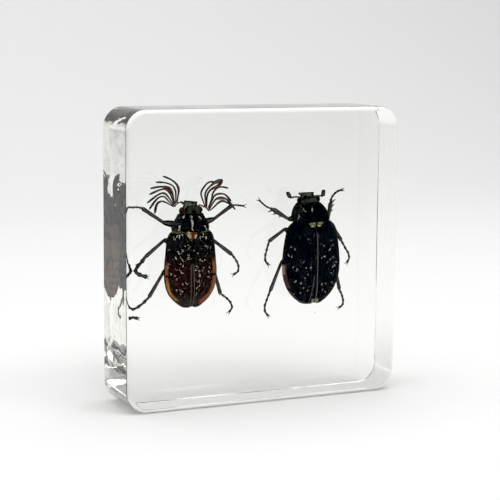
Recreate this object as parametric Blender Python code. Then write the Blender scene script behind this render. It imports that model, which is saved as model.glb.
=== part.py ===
"""Two large scarab beetles, a male and a female, cast in an upright square slab of clear resin.

Metres, +Z up, +X to the right of someone facing the beetles' backs, which look towards -Y. The origin
is at the middle of the slab's bottom face. The resin is one casting: here it is parted in two at the
beetles' middle plane, so that each beetle lies in a closed pocket. Each beetle is modelled lying flat in
a frame of its own (+X across, +Y towards the head, +Z out of its back, in millimetres) and is then
stood up in the slab.
"""
import math

import bmesh
import bpy
from mathutils import Matrix, Vector

MM = 0.001

# The slab
SLAB_SIDE = 75.0
SLAB_DEPTH = 18.0
CORNER_RADIUS = 5.3
FRONT_ROUNDING = 1.3
FRONT_ROUNDING_STEPS = 3
BACK_ROUNDING = 0.3
BACK_ROUNDING_STEPS = 1
CORNER_STEPS = 6
PARTING_GAP = 0.3

# The pockets: a shallow one round the legs and antennae, and a bowl round the body
POCKET_CLEARANCE = 0.7
POCKET_FRONT = 2.7
POCKET_BACK = 3.0
POCKET_CORNER = 4.0
POCKET_CORNER_STEPS = 4
BOWL_END_CLEARANCE = 2.2
BOWL_FRONT_CLEARANCE = 2.2
BOWL_DEPTH_CLEARANCE = 1.4
# How far the shallow pockets reach from the bodies' middles: left, right, down, up
MALE_REACH = (-17.7, 16.3, -16.6, 21.6)
FEMALE_REACH = (-16.1, 12.6, -18.4, 16.7)

# Places on the slab's middle plane, across and up, of the middles of the two bodies
MALE_PLACE = (-18.8, 38.0)
FEMALE_PLACE = (15.0, 38.0)

# Body outlines, tail to head: (ahead, half width)
MALE_WING_CASES = (
    (-13.1, 0.0), (-12.7, 2.1), (-11.5, 4.4), (-9.3, 6.2), (-6.6, 7.1), (-3.6, 7.2),
    (0.5, 6.8), (4.2, 6.4), (5.9, 5.6), (7.3, 0.0),
)
FEMALE_WING_CASES = (
    (-14.5, 0.0), (-14.0, 2.8), (-12.4, 5.2), (-9.6, 7.3), (-5.6, 8.4), (-1.6, 8.3),
    (2.4, 7.8), (5.0, 7.1), (6.7, 6.1), (8.3, 0.0),
)
MALE_PRONOTUM = ((5.9, 0.0), (6.4, 4.6), (7.6, 5.1), (9.1, 4.3), (10.5, 3.1), (11.1, 0.0))
FEMALE_PRONOTUM = ((6.8, 0.0), (7.4, 5.0), (8.8, 5.5), (10.6, 4.8), (12.2, 3.2), (12.9, 0.0))
MALE_HEAD = ((9.6, 0.0), (10.2, 2.4), (11.6, 2.5), (12.6, 1.9), (13.2, 0.0))
FEMALE_HEAD = ((11.6, 0.0), (12.2, 2.7), (13.0, 2.6), (13.9, 2.0), (14.4, 0.0))

# Heights above the middle plane
WING_CASE_TOP = 4.4
WING_CASE_RIM = 0.2
WING_CASE_ARCH = 2.3
SEAM_GROOVE = 0.6
SEAM_OVERLAP = 0.08
BACK_TOP = 1.5
BELLY = 4.2
PRONOTUM_TOP = 3.9
PRONOTUM_BELLY = 3.2
HEAD_TOP = 2.4
HEAD_BELLY = 1.7
DOME_SQUARENESS = 0.82
DOME_FULLNESS = 0.75

# How fine each form's faces are: columns round the body and rings from tail to head
BACK_FACES = (16, 10)
WING_CASE_FACES = (14, 12)
PRONOTUM_FACES = (14, 8)
HEAD_FACES = (12, 8)
SCUTELLUM_FACES = (10, 6)
BOWL_FACES = (12, 8)

# The seam between the wing cases: how far across it is at its front and rear ends
MALE_SEAM = (-0.7, 0.1)
FEMALE_SEAM = (0.5, 0.6)

# The female's front body leans to the left of the seam, by this much for each millimetre ahead
LEAN = 0.18
LEAN_START = 6.8

# The plate over the mouth, its front edge turned up: middle of the front edge, width, turn in degrees
MALE_VISOR = ((-0.35, 13.9), 3.6, -7)
FEMALE_VISOR = ((-1.8, 15.0), 3.7, 0)
VISOR_LEVEL = 1.1
VISOR_LENGTH = 2.6
VISOR_THICKNESS = 0.5
VISOR_LIP = 0.55
VISOR_ROOT_SHARE = 0.85
VISOR_BEVEL = 0.14

# The small shield between the wing cases: middle of its front edge, half width, length, level
MALE_SCUTELLUM = ((-0.5, 6.3), 1.8, 2.3, 3.3)
FEMALE_SCUTELLUM = ((0.1, 7.2), 2.5, 1.9, 3.35)
SCUTELLUM_LIFT = 0.55
SCUTELLUM_DEPTH = 1.0

MALE_EYES = ((-2.3, 11.5, 0.7), (2.2, 11.6, 0.7))
FEMALE_EYES = ((-3.5, 12.9, 0.7), (1.3, 13.0, 0.7))
EYE_RADIUS = 0.95

# Antennae of the male: a jointed stem to the club's base, and the seven leaves of each fan, every one by
# the points that it curves through from its root to its tip
MALE_LEFT_STEM = (
    (-1.2, 12.4, 0.4), (-1.9, 13.5, 0.6), (-2.8, 13.7, 0.7), (-3.7, 13.4, 0.8), (-4.5, 12.5, 0.8),
)
MALE_RIGHT_STEM = (
    (1.0, 12.0, 0.4), (1.6, 12.4, 0.6), (2.4, 12.8, 0.7), (3.8, 12.2, 0.8), (4.9, 11.1, 0.8),
)
MALE_LEFT_LEAVES = (
    ((-3.7, 13.4), (-3.4, 15.2), (-3.2, 16.7), (-3.7, 18.1), (-5.3, 19.4), (-7.5, 20.3)),
    ((-4.0, 13.3), (-4.0, 15.2), (-4.1, 16.5), (-4.9, 17.9), (-7.1, 18.7), (-9.4, 18.8)),
    ((-4.2, 13.1), (-4.7, 14.9), (-5.0, 16.1), (-6.0, 17.4), (-8.3, 17.7), (-10.9, 17.3)),
    ((-4.4, 13.0), (-5.2, 15.0), (-5.8, 16.3), (-6.9, 17.1), (-8.7, 16.8), (-11.2, 15.8)),
    ((-4.5, 12.9), (-5.9, 14.8), (-6.7, 15.8), (-7.8, 16.1), (-9.4, 15.4), (-11.8, 13.7)),
    ((-4.6, 12.7), (-6.1, 14.1), (-6.9, 15.0), (-7.9, 15.3), (-9.3, 14.6), (-11.3, 12.1)),
    ((-4.6, 12.5), (-6.1, 13.4), (-7.1, 13.9), (-8.2, 14.1), (-9.3, 13.3), (-9.8, 11.0)),
)
MALE_RIGHT_LEAVES = (
    ((3.9, 12.2), (3.1, 14.3), (2.8, 15.8), (3.6, 17.2), (5.0, 18.4), (6.9, 18.3)),
    ((4.1, 12.1), (3.9, 14.3), (4.0, 15.9), (5.1, 17.2), (6.7, 18.3), (8.8, 18.8)),
    ((4.3, 11.9), (4.3, 14.3), (4.7, 15.8), (5.9, 16.8), (7.3, 17.3), (8.6, 18.6)),
    ((4.5, 11.7), (5.6, 14.2), (5.8, 15.4), (6.8, 16.7), (8.2, 17.1), (10.2, 16.7)),
    ((4.7, 11.5), (5.9, 14.3), (6.7, 15.2), (8.1, 15.4), (9.4, 15.0), (10.9, 13.3)),
    ((4.8, 11.4), (6.1, 13.5), (7.0, 14.2), (8.4, 14.3), (9.9, 13.7), (12.0, 11.1)),
    ((4.9, 11.2), (6.2, 12.2), (7.2, 13.1), (8.4, 13.6), (9.7, 13.1), (11.3, 12.2)),
)
LEAF_LEVEL = 0.8
LEAF_SPREAD = 0.1
LEAF_STEPS = 2
LEAF_RADIUS = 0.2
LEAF_SWELL = 0.15
LEAF_DEPTH_SHARE = 2.2
STEM_RADIUS = 0.24
STEM_SWELL = (1.2, 1.0, 0.9, 1.1, 1.9)

# Antennae of the female: a stem and a small closed club
FEMALE_LEFT_STEM = ((-3.4, 13.5, 0.2), (-4.8, 13.8, 0.4), (-6.3, 13.6, 0.5))
FEMALE_RIGHT_STEM = ((0.3, 13.6, 0.2), (1.6, 13.9, 0.4), (3.1, 13.7, 0.5))
FEMALE_LEFT_CLUB = ((-6.3, 13.6, 0.5), (-6.6, 14.1, 0.5), (-7.1, 15.1, 0.5))
FEMALE_RIGHT_CLUB = ((3.1, 13.7, 0.5), (3.2, 14.3, 0.5), (3.3, 15.3, 0.5))
SHORT_STEM_SWELL = (1.2, 0.9, 1.0)
CLUB_RADIUS = 0.5
CLUB_SWELL = (0.5, 0.9, 0.8)
CLUB_DEPTH_SHARE = 0.7

# Legs: coxa under the body, knee, ankle, and the points that the foot curls through to its claws
MALE_LEGS = (
    ((-2.0, 7.6, -2.1), (-6.9, 8.6, -1.2), (-12.6, 12.4, -0.5),
     ((-14.0, 12.8, -0.3), (-15.4, 12.7, -0.2), (-16.7, 12.5, 0.0))),
    ((2.0, 7.6, -2.1), (6.7, 8.9, -1.2), (11.4, 12.2, -0.5),
     ((12.6, 12.3, -0.3), (13.6, 12.1, -0.2), (14.6, 12.0, 0.0))),
    ((-2.6, 2.2, -2.6), (-6.4, 4.2, -1.8), (-11.8, 0.3, -0.6),
     ((-13.3, -1.5, -0.4), (-14.8, -2.6, -0.2), (-14.4, -3.6, 0.0),
      (-13.0, -4.3, 0.0), (-11.6, -4.7, 0.0))),
    ((2.6, 2.2, -2.6), (6.4, 3.7, -1.8), (11.5, -0.3, -0.6),
     ((12.8, -2.0, -0.4), (13.4, -3.7, -0.2), (13.0, -5.0, 0.0), (12.0, -5.4, 0.0))),
    ((-3.0, -1.6, -2.6), (-7.0, -4.4, -1.9), (-10.9, -9.9, -0.6),
     ((-13.3, -12.0, -0.4), (-15.3, -12.6, -0.2), (-16.4, -13.5, 0.0),
      (-15.7, -14.6, 0.0), (-14.0, -15.0, 0.0))),
    ((3.0, -1.6, -2.6), (7.1, -4.7, -1.9), (8.4, -10.2, -0.6),
     ((9.9, -11.3, -0.4), (11.1, -12.5, -0.2), (11.6, -14.0, 0.0), (10.8, -15.0, 0.0))),
)
FEMALE_LEGS = (
    ((-2.2, 8.2, -2.1), (-6.2, 8.0, -1.2), (-10.9, 10.8, -0.5),
     ((-12.7, 11.5, -0.3), (-14.0, 12.5, -0.2), (-14.8, 13.2, 0.0))),
    ((2.0, 8.2, -2.1), (5.3, 7.7, -1.2), (5.7, 11.9, -0.5),
     ((5.8, 12.9, -0.3), (6.5, 14.0, -0.2), (7.7, 14.9, 0.0), (8.9, 15.1, 0.0))),
    ((-2.8, 3.0, -2.6), (-7.0, 5.4, -1.9), (-11.8, 2.6, -0.6),
     ((-12.6, 0.2, -0.4), (-13.1, -1.7, -0.2), (-12.9, -2.9, 0.0), (-12.2, -3.4, 0.0))),
    ((2.8, 3.0, -2.6), (7.1, 5.2, -1.9), (9.0, 1.8, -0.6),
     ((10.2, -0.3, -0.4), (11.2, -1.9, -0.2), (11.3, -3.2, 0.0), (10.7, -4.1, 0.0))),
    ((-3.2, -1.4, -2.6), (-8.0, -3.4, -1.9), (-11.4, -10.4, -0.6),
     ((-12.5, -12.9, -0.4), (-13.1, -14.5, -0.2), (-12.9, -16.0, 0.0), (-12.1, -16.8, 0.0))),
    ((3.2, -1.4, -2.6), (7.8, -5.6, -1.9), (8.7, -11.2, -0.6),
     ((9.5, -13.0, -0.4), (9.8, -14.6, -0.2), (9.4, -15.7, 0.0), (8.6, -16.0, 0.0))),
)
FORE_LEGS = (0, 1)

# Where along a leg its thickness is given, as shares of the thigh and of the shin
THIGH_MIDDLE = 0.55
SHIN_NECK = 0.3
SHIN_END = 0.9
SPUR_PLACE = 0.93

# Thicknesses of a leg, as radii, and the spurs, teeth and claws on it; spreads in degrees
COXA_RADIUS = 0.95
THIGH_RADIUS = 0.85
KNEE_RADIUS = 0.45
SHIN_RADIUS = 0.62
DIGGING_SHIN_RADIUS = 0.72
SHIN_NECK_SHARE = 0.72
ANKLE_SHARE = 0.62
FOOT_RADIUS = 0.26
FOOT_WAIST = 0.8
FOOT_JOINT = 1.15
FOOT_INSET = 0.1
CLAW_LENGTH = 0.95
CLAW_SPREAD = 28
CLAW_RADIUS = 0.14
CLAW_STAGGER = 0.11
CLAW_STAGGER_TURN = 75
CLAW_INSET = 0.2
CLAW_DROOP = (0.24, 0.36)
SPUR_LENGTH = 1.2
SPUR_RADIUS = 0.17
SPUR_SPREAD = 33
SPUR_DROOP = (0.14, 0.26)
TOOTH_LENGTH = 1.1
TOOTH_RADIUS = 0.32
TOOTH_SPREAD = 62
TOOTH_PLACES = (0.45, 0.72, 0.95)
SPIKE_TIP_SHARE = 0.25

RESIN_COLOUR = (0.95, 0.97, 0.96)
RESIN_ROUGHNESS = 0.02
SHELL_ROUGHNESS = 0.3
SHARP_ANGLE = 40
MALE_COLOUR = (0.045, 0.018, 0.012)
FEMALE_COLOUR = (0.012, 0.014, 0.015)


def empty_the_scene():
    for thing in list(bpy.data.objects):
        bpy.data.objects.remove(thing, do_unlink=True)


def new_collection(name):
    collection = bpy.data.collections.new(name)
    bpy.context.scene.collection.children.link(collection)
    return collection


def material(name, colour, roughness, transmission=0.0):
    """A plain finish: colour, roughness, and how much light passes through."""
    finish = bpy.data.materials.new(name)
    finish.use_nodes = True
    shader = finish.node_tree.nodes["Principled BSDF"]
    shader.inputs["Base Color"].default_value = (*colour, 1.0)
    shader.inputs["Roughness"].default_value = roughness
    shader.inputs["Metallic"].default_value = 0.0
    shader.inputs["Transmission Weight"].default_value = transmission
    shader.inputs["IOR"].default_value = 1.5
    return finish


def new_object(name, mesh):
    thing = bpy.data.objects.new(name, mesh)
    bpy.context.scene.collection.objects.link(thing)
    return thing


def object_from_bmesh(name, bm):
    mesh = bpy.data.meshes.new(name)
    bm.to_mesh(mesh)
    bm.free()
    return new_object(name, mesh)


def mesh_copy(thing):
    """The object's mesh with its modifiers or its curve bevel carried out."""
    bpy.context.view_layer.update()
    graph = bpy.context.evaluated_depsgraph_get()
    return bpy.data.meshes.new_from_object(thing.evaluated_get(graph))


def smooth_through(points, steps):
    """Points along a smooth curve that passes through every given point."""
    ends = [2 * points[0] - points[1]] + list(points) + [2 * points[-1] - points[-2]]
    path = [points[0]]
    for index in range(len(points) - 1):
        before, start, stop, after = ends[index:index + 4]
        for step in range(1, steps + 1):
            t = step / steps
            path.append(0.5 * (
                2 * start + (stop - before) * t
                + (2 * before - 5 * start + 4 * stop - after) * t * t
                + (3 * start - before - 3 * stop + after) * t * t * t
            ))
    return path


def vectors(points):
    return [Vector(point) for point in points]


# ---------------------------------------------------------------- limbs

def limb(path, radii, roundness=1, flatness=1.0):
    """A closed tube along the path, as thick at each point as the radii say."""
    curve = bpy.data.curves.new("limb", "CURVE")
    curve.dimensions = "3D"
    curve.bevel_depth = 1.0
    curve.bevel_resolution = roundness
    curve.use_fill_caps = True
    spline = curve.splines.new("POLY")
    spline.points.add(len(path) - 1)
    for point, place, radius in zip(spline.points, path, radii):
        point.co = (*place, 1.0)
        point.radius = radius
    guide = new_object("limb", curve)
    tube = new_object("limb", mesh_copy(guide))
    tube.matrix_world = guide.matrix_world
    bpy.data.objects.remove(guide, do_unlink=True)
    bm = bmesh.new()
    bm.from_mesh(tube.data)
    bmesh.ops.remove_doubles(bm, verts=bm.verts, dist=0.0001)
    level = path[0].z
    for vertex in bm.verts:
        vertex.co.z = level + (vertex.co.z - level) * flatness
    bmesh.ops.recalc_face_normals(bm, faces=bm.faces)
    bm.to_mesh(tube.data)
    bm.free()
    return tube


def spike(root, direction, length, radius):
    """A spur, claw or tooth: a short tube that tapers almost to a point."""
    path = [root, root + direction.normalized() * length]
    return limb(path, (radius, radius * SPIKE_TIP_SHARE), roundness=0)


def turned(direction, degrees):
    """The direction turned in the plane that the beetle lies in."""
    angle = math.radians(degrees)
    return Vector((
        direction.x * math.cos(angle) - direction.y * math.sin(angle),
        direction.x * math.sin(angle) + direction.y * math.cos(angle),
        direction.z,
    ))


def foot(ankle, points):
    """The five-jointed foot, each joint widening to its far end, with two claws."""
    path = smooth_through([ankle] + points, 2)
    radii = [FOOT_RADIUS * (FOOT_WAIST if step % 2 else FOOT_JOINT) for step in range(len(path))]
    pieces = [limb(path, radii)]
    ahead = (path[-1] - path[-2]).normalized()
    for side, droop in zip((-1, 1), CLAW_DROOP):
        root = path[-1] - ahead * CLAW_INSET + turned(ahead, side * CLAW_STAGGER_TURN) * CLAW_STAGGER
        claw = turned(ahead, side * CLAW_SPREAD) - Vector((0, 0, droop))
        pieces.append(spike(root, claw, CLAW_LENGTH, CLAW_RADIUS))
    return pieces


def shin_arms(knee, ankle, digging):
    """The two spurs at the end of a shin, or the teeth along the outside of a digging one."""
    along = (ankle - knee).normalized()
    outward = 1 if ankle.x < 0 else -1
    pieces = []
    if digging:
        tooth = turned(along, outward * TOOTH_SPREAD)
        for place in TOOTH_PLACES:
            pieces.append(spike(knee.lerp(ankle, place), tooth, TOOTH_LENGTH, TOOTH_RADIUS))
        return pieces
    for side, droop in zip((-1, 1), SPUR_DROOP):
        spur = turned(along, side * SPUR_SPREAD) - Vector((0, 0, droop))
        pieces.append(spike(knee.lerp(ankle, SPUR_PLACE), spur, SPUR_LENGTH, SPUR_RADIUS))
    return pieces


def leg(coxa, knee, ankle, foot_points, digging):
    """Thigh and shin, with what arms the shin, and the foot."""
    coxa, knee, ankle = Vector(coxa), Vector(knee), Vector(ankle)
    shin = DIGGING_SHIN_RADIUS if digging else SHIN_RADIUS
    path = [
        coxa, coxa.lerp(knee, THIGH_MIDDLE), knee,
        knee.lerp(ankle, SHIN_NECK), knee.lerp(ankle, SHIN_END), ankle,
    ]
    radii = (COXA_RADIUS, THIGH_RADIUS, KNEE_RADIUS, SHIN_NECK_SHARE * shin, shin, ANKLE_SHARE * shin)
    foot_start = ankle - (ankle - knee).normalized() * FOOT_INSET
    return [limb(path, radii)] + shin_arms(knee, ankle, digging) + foot(foot_start, vectors(foot_points))


def leaf(points, level, rise):
    """One leaf of a male's antenna: a blade that stands on edge and curls from its root to its tip."""
    path = smooth_through([Vector((*point, level)) for point in points], LEAF_STEPS)
    last = len(path) - 1
    for step, point in enumerate(path):
        point.z += rise * step / last
    radii = [LEAF_RADIUS + LEAF_SWELL * math.sin(math.pi * step / last) for step in range(len(path))]
    return limb(path, radii, roundness=0, flatness=LEAF_DEPTH_SHARE)


def fan(stem, leaves):
    """The male's antenna: a jointed stem and seven leaves opened out like a hand."""
    pieces = [limb(vectors(stem), [STEM_RADIUS * swell for swell in STEM_SWELL])]
    for index, points in enumerate(leaves):
        rise = LEAF_SPREAD * (index - len(leaves) // 2)
        pieces.append(leaf(points, LEAF_LEVEL + rise, rise))
    return pieces


def short_antenna(stem, club):
    return [
        limb(vectors(stem), [STEM_RADIUS * swell for swell in SHORT_STEM_SWELL]),
        limb(vectors(club), [CLUB_RADIUS * swell for swell in CLUB_SWELL], flatness=CLUB_DEPTH_SHARE),
    ]


# ---------------------------------------------------------------- bodies

def outline_width(outline, ahead):
    """Half width of the outline at a place along the body, with round ends."""
    tail, head = outline[0][0], outline[-1][0]

    def polar(place):
        return math.acos(max(-1.0, min(1.0, (2 * place - tail - head) / (head - tail))))

    wanted = polar(ahead)
    points = [Vector((polar(place), width, 0)) for place, width in reversed(outline)]
    curve = smooth_through(points, 8)
    for start, stop in zip(curve, curve[1:]):
        if start.x <= wanted <= stop.x and stop.x > start.x:
            share = (wanted - start.x) / (stop.x - start.x)
            return max(0.0, start.y + (stop.y - start.y) * share)
    return 0.0


def powered(value, exponent):
    return math.copysign(abs(value) ** exponent, value)


def body_rings(faces):
    """A ball with its poles at head and tail, as (vertex, place along, angle around) rows."""
    bm = bmesh.new()
    bmesh.ops.create_uvsphere(bm, u_segments=faces[0], v_segments=faces[1], radius=1.0)
    rows = [(vertex, vertex.co.z, math.atan2(vertex.co.y, vertex.co.x)) for vertex in bm.verts]
    return bm, rows


def domed_form(outline, top, belly, faces):
    """A closed form whose plan follows the outline, domed above and below."""
    tail, head = outline[0][0], outline[-1][0]
    widest = max(width for _, width in outline)
    bm, rows = body_rings(faces)
    for vertex, along, around in rows:
        ahead = (tail + head) / 2 + along * (head - tail) / 2
        half_width = outline_width(outline, ahead)
        height = top if math.sin(around) > 0 else belly
        vertex.co = (
            half_width * powered(math.cos(around), DOME_SQUARENESS),
            ahead,
            height * (half_width / widest) ** DOME_FULLNESS * powered(math.sin(around), DOME_SQUARENESS),
        )
    return object_from_bmesh("form", bm)


def wing_case(outline, seam, side):
    """One wing case: half of a dome, with its inner edge dipping to the seam between the two."""
    tail, head = outline[0][0], outline[-1][0]
    widest = max(width for _, width in outline)
    bm, rows = body_rings(WING_CASE_FACES)
    for vertex, along, around in rows:
        ahead = (tail + head) / 2 + along * (head - tail) / 2
        half_width = outline_width(outline, ahead)
        inner = seam[1] + (seam[0] - seam[1]) * (ahead - tail) / (head - tail)
        inner -= side * SEAM_OVERLAP
        share = (1 + math.cos(around)) / 2
        across = inner + (side * half_width - inner) * share
        arch = max(0.0, 1 - abs(across / max(half_width, 0.01)) ** WING_CASE_ARCH) ** 0.5
        rise = (WING_CASE_TOP - WING_CASE_RIM) * arch * (half_width / widest) ** DOME_FULLNESS
        height = WING_CASE_RIM + rise
        if share < 0.001:
            height -= SEAM_GROOVE
        if math.sin(around) < -0.001:
            height = -WING_CASE_RIM
        vertex.co = (across, ahead, height)
    bmesh.ops.recalc_face_normals(bm, faces=bm.faces)
    return object_from_bmesh("wing_case", bm)


def ball(place, radius):
    bm = bmesh.new()
    bmesh.ops.create_icosphere(bm, subdivisions=2, radius=radius)
    bmesh.ops.translate(bm, verts=bm.verts, vec=place)
    return object_from_bmesh("ball", bm)


def visor(front, width, turn):
    """The flat plate over the mouth, its front edge turned up."""
    bm = bmesh.new()
    bmesh.ops.create_cube(bm, size=1.0)
    for vertex in bm.verts:
        ahead = vertex.co.y > 0
        taper = 1.0 if ahead else VISOR_ROOT_SHARE
        raised = VISOR_LIP if ahead and vertex.co.z > 0 else 0.0
        place = Vector((vertex.co.x * width * taper, (vertex.co.y - 0.5) * VISOR_LENGTH, 0.0))
        place = turned(place, turn)
        height = VISOR_LEVEL + vertex.co.z * VISOR_THICKNESS + raised
        vertex.co = (front[0] + place.x, front[1] + place.y, height)
    bmesh.ops.bevel(bm, geom=list(bm.edges), offset=VISOR_BEVEL, segments=1, affect="EDGES")
    return object_from_bmesh("visor", bm)


def scutellum(front, half_width, length, level):
    """The small shield between the wing cases, pointing to the tail."""
    outline = (
        (front[1] - length, 0.0), (front[1] - 0.55 * length, 0.55 * half_width),
        (front[1] - 0.1 * length, half_width), (front[1] + 0.1 * length, 0.0),
    )
    shield = domed_form(outline, SCUTELLUM_LIFT, SCUTELLUM_DEPTH, SCUTELLUM_FACES)
    shield.data.transform(Matrix.Translation((front[0], 0.0, level)))
    return shield


def fuse(name, pieces):
    """The pieces joined into one closed solid."""
    base = pieces[0]
    for piece in pieces[1:]:
        union = base.modifiers.new("join", "BOOLEAN")
        union.operation = "UNION"
        union.solver = "EXACT"
        union.object = piece
    mesh = mesh_copy(base)
    for piece in pieces:
        bpy.data.objects.remove(piece, do_unlink=True)
    bm = bmesh.new()
    bm.from_mesh(mesh)
    bmesh.ops.triangulate(bm, faces=bm.faces)
    bm.to_mesh(mesh)
    bm.free()
    return new_object(name, mesh)


def stand_in_slab(thing, place):
    """From millimetres lying flat to metres, upright, back towards -Y."""
    thing.data.transform(Matrix.Scale(MM, 4))
    thing.location = (place[0] * MM, 0.0, place[1] * MM)
    thing.rotation_euler = (math.pi / 2, 0.0, 0.0)


def all_legs(legs, digging):
    pieces = []
    for index, (coxa, knee, ankle, foot_points) in enumerate(legs):
        pieces += leg(coxa, knee, ankle, foot_points, digging and index in FORE_LEGS)
    return pieces


def back_and_wing_cases(outline, seam):
    return [
        domed_form(outline, BACK_TOP, BELLY, BACK_FACES),
        wing_case(outline, seam, -1),
        wing_case(outline, seam, 1),
    ]


def front_body(pronotum, head):
    return [
        domed_form(pronotum, PRONOTUM_TOP, PRONOTUM_BELLY, PRONOTUM_FACES),
        domed_form(head, HEAD_TOP, HEAD_BELLY, HEAD_FACES),
    ]


def lean_left(form):
    """The female's front body leans to her left of the seam, more towards the head."""
    for vertex in form.data.vertices:
        vertex.co.x -= LEAN * max(0.0, vertex.co.y - LEAN_START)


def male_beetle():
    pieces = back_and_wing_cases(MALE_WING_CASES, MALE_SEAM) + front_body(MALE_PRONOTUM, MALE_HEAD)
    pieces += [visor(*MALE_VISOR), scutellum(*MALE_SCUTELLUM)]
    pieces += [ball(place, EYE_RADIUS) for place in MALE_EYES]
    pieces += all_legs(MALE_LEGS, digging=False)
    pieces += fan(MALE_LEFT_STEM, MALE_LEFT_LEAVES)
    pieces += fan(MALE_RIGHT_STEM, MALE_RIGHT_LEAVES)
    return fuse("male_beetle", pieces)


def female_beetle():
    pieces = back_and_wing_cases(FEMALE_WING_CASES, FEMALE_SEAM)
    pieces += [visor(*FEMALE_VISOR), scutellum(*FEMALE_SCUTELLUM)]
    pieces += [ball(place, EYE_RADIUS) for place in FEMALE_EYES]
    for form in front_body(FEMALE_PRONOTUM, FEMALE_HEAD):
        lean_left(form)
        pieces.append(form)
    pieces += all_legs(FEMALE_LEGS, digging=True)
    pieces += short_antenna(FEMALE_LEFT_STEM, FEMALE_LEFT_CLUB)
    pieces += short_antenna(FEMALE_RIGHT_STEM, FEMALE_RIGHT_CLUB)
    return fuse("female_beetle", pieces)


# ---------------------------------------------------------------- slab

def round_edges(bm, edges, radius, steps):
    bmesh.ops.bevel(bm, geom=edges, offset=radius, segments=steps, profile=0.5, affect="EDGES")


def slab_half(name, side):
    """Half of the slab, from the parting plane to its front (side -1) or back (side 1) face."""
    inner = PARTING_GAP / 2
    depth = SLAB_DEPTH / 2 - inner
    bm = bmesh.new()
    bmesh.ops.create_cube(bm, size=1.0)
    bmesh.ops.scale(bm, vec=(SLAB_SIDE, depth, SLAB_SIDE), verts=bm.verts)
    corners = [edge for edge in bm.edges if abs(edge.verts[0].co.y - edge.verts[1].co.y) > depth / 2]
    round_edges(bm, corners, CORNER_RADIUS, CORNER_STEPS)
    rim = [edge for edge in bm.edges if all(vertex.co.y * side > 0 for vertex in edge.verts)]
    if side < 0:
        round_edges(bm, rim, FRONT_ROUNDING, FRONT_ROUNDING_STEPS)
    else:
        round_edges(bm, rim, BACK_ROUNDING, BACK_ROUNDING_STEPS)
    bmesh.ops.translate(bm, verts=bm.verts, vec=(0, side * (inner + depth / 2), SLAB_SIDE / 2))
    bmesh.ops.scale(bm, vec=(MM, MM, MM), verts=bm.verts)
    return object_from_bmesh(name, bm)


def pocket(name, outlines, reach):
    """The hollow for a beetle: a shallow pocket to the reach of its limbs, and a bowl for its body."""
    left, right, low, high = reach
    bm = bmesh.new()
    bmesh.ops.create_cube(bm, size=1.0)
    corners = [edge for edge in bm.edges if abs(edge.verts[0].co.z - edge.verts[1].co.z) > 0.5]
    for vertex in bm.verts:
        vertex.co = (
            right if vertex.co.x > 0 else left,
            high if vertex.co.y > 0 else low,
            POCKET_FRONT if vertex.co.z > 0 else -POCKET_BACK,
        )
    round_edges(bm, corners, POCKET_CORNER, POCKET_CORNER_STEPS)
    shallow = object_from_bmesh("shallow", bm)
    wing_cases, pronotum, head = outlines
    grown = [(wing_cases[0][0] - BOWL_END_CLEARANCE, 0.0)]
    grown += [(ahead, width + POCKET_CLEARANCE) for ahead, width in wing_cases[1:-2]]
    grown += [(ahead, width + BOWL_FRONT_CLEARANCE) for ahead, width in (pronotum[2], head[2])]
    grown += [(head[-1][0] + BOWL_END_CLEARANCE, 0.0)]
    front_depth = WING_CASE_TOP + BOWL_DEPTH_CLEARANCE
    back_depth = BELLY + BOWL_DEPTH_CLEARANCE
    bowl = domed_form(grown, front_depth, back_depth, BOWL_FACES)
    return fuse(name, [shallow, bowl])


def main():
    empty_the_scene()
    slab = new_collection("insect_in_resin_block")
    cutters = new_collection("cutters")
    resin = material("clear_cast_resin", RESIN_COLOUR, RESIN_ROUGHNESS, transmission=1.0)

    hollows = [
        pocket("male_pocket", (MALE_WING_CASES, MALE_PRONOTUM, MALE_HEAD), MALE_REACH),
        pocket("female_pocket", (FEMALE_WING_CASES, FEMALE_PRONOTUM, FEMALE_HEAD), FEMALE_REACH),
    ]
    for hollow, place in zip(hollows, (MALE_PLACE, FEMALE_PLACE)):
        stand_in_slab(hollow, place)
        hollow.hide_render = True
        hollow.display_type = "WIRE"
        bpy.context.scene.collection.objects.unlink(hollow)
        cutters.objects.link(hollow)

    pieces = [slab_half("resin_front_half", -1), slab_half("resin_back_half", 1)]
    for half in pieces:
        half.data.materials.append(resin)
        for hollow in hollows:
            cut = half.modifiers.new("pocket", "BOOLEAN")
            cut.operation = "DIFFERENCE"
            cut.solver = "EXACT"
            cut.object = hollow

    beetles = ((male_beetle, MALE_PLACE, MALE_COLOUR), (female_beetle, FEMALE_PLACE, FEMALE_COLOUR))
    for build, place, colour in beetles:
        beetle = build()
        stand_in_slab(beetle, place)
        beetle.data.materials.clear()
        beetle.data.materials.append(material(beetle.name + "_shell", colour, SHELL_ROUGHNESS))
        beetle.data.shade_smooth()
        beetle.data.set_sharp_from_angle(angle=math.radians(SHARP_ANGLE))
        pieces.append(beetle)

    for piece in pieces:
        bpy.context.scene.collection.objects.unlink(piece)
        slab.objects.link(piece)


main()
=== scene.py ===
# %% [markdown]
# # Two scarab beetles in a slab of clear resin
#
# The real thing is a square slab of clear resin, cast round two dried beetles that lie side by side with
# their backs to the front face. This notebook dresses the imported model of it: the camera and the light
# come first, then the slab, and then the beetles, from the large forms to the scales on them.

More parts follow.
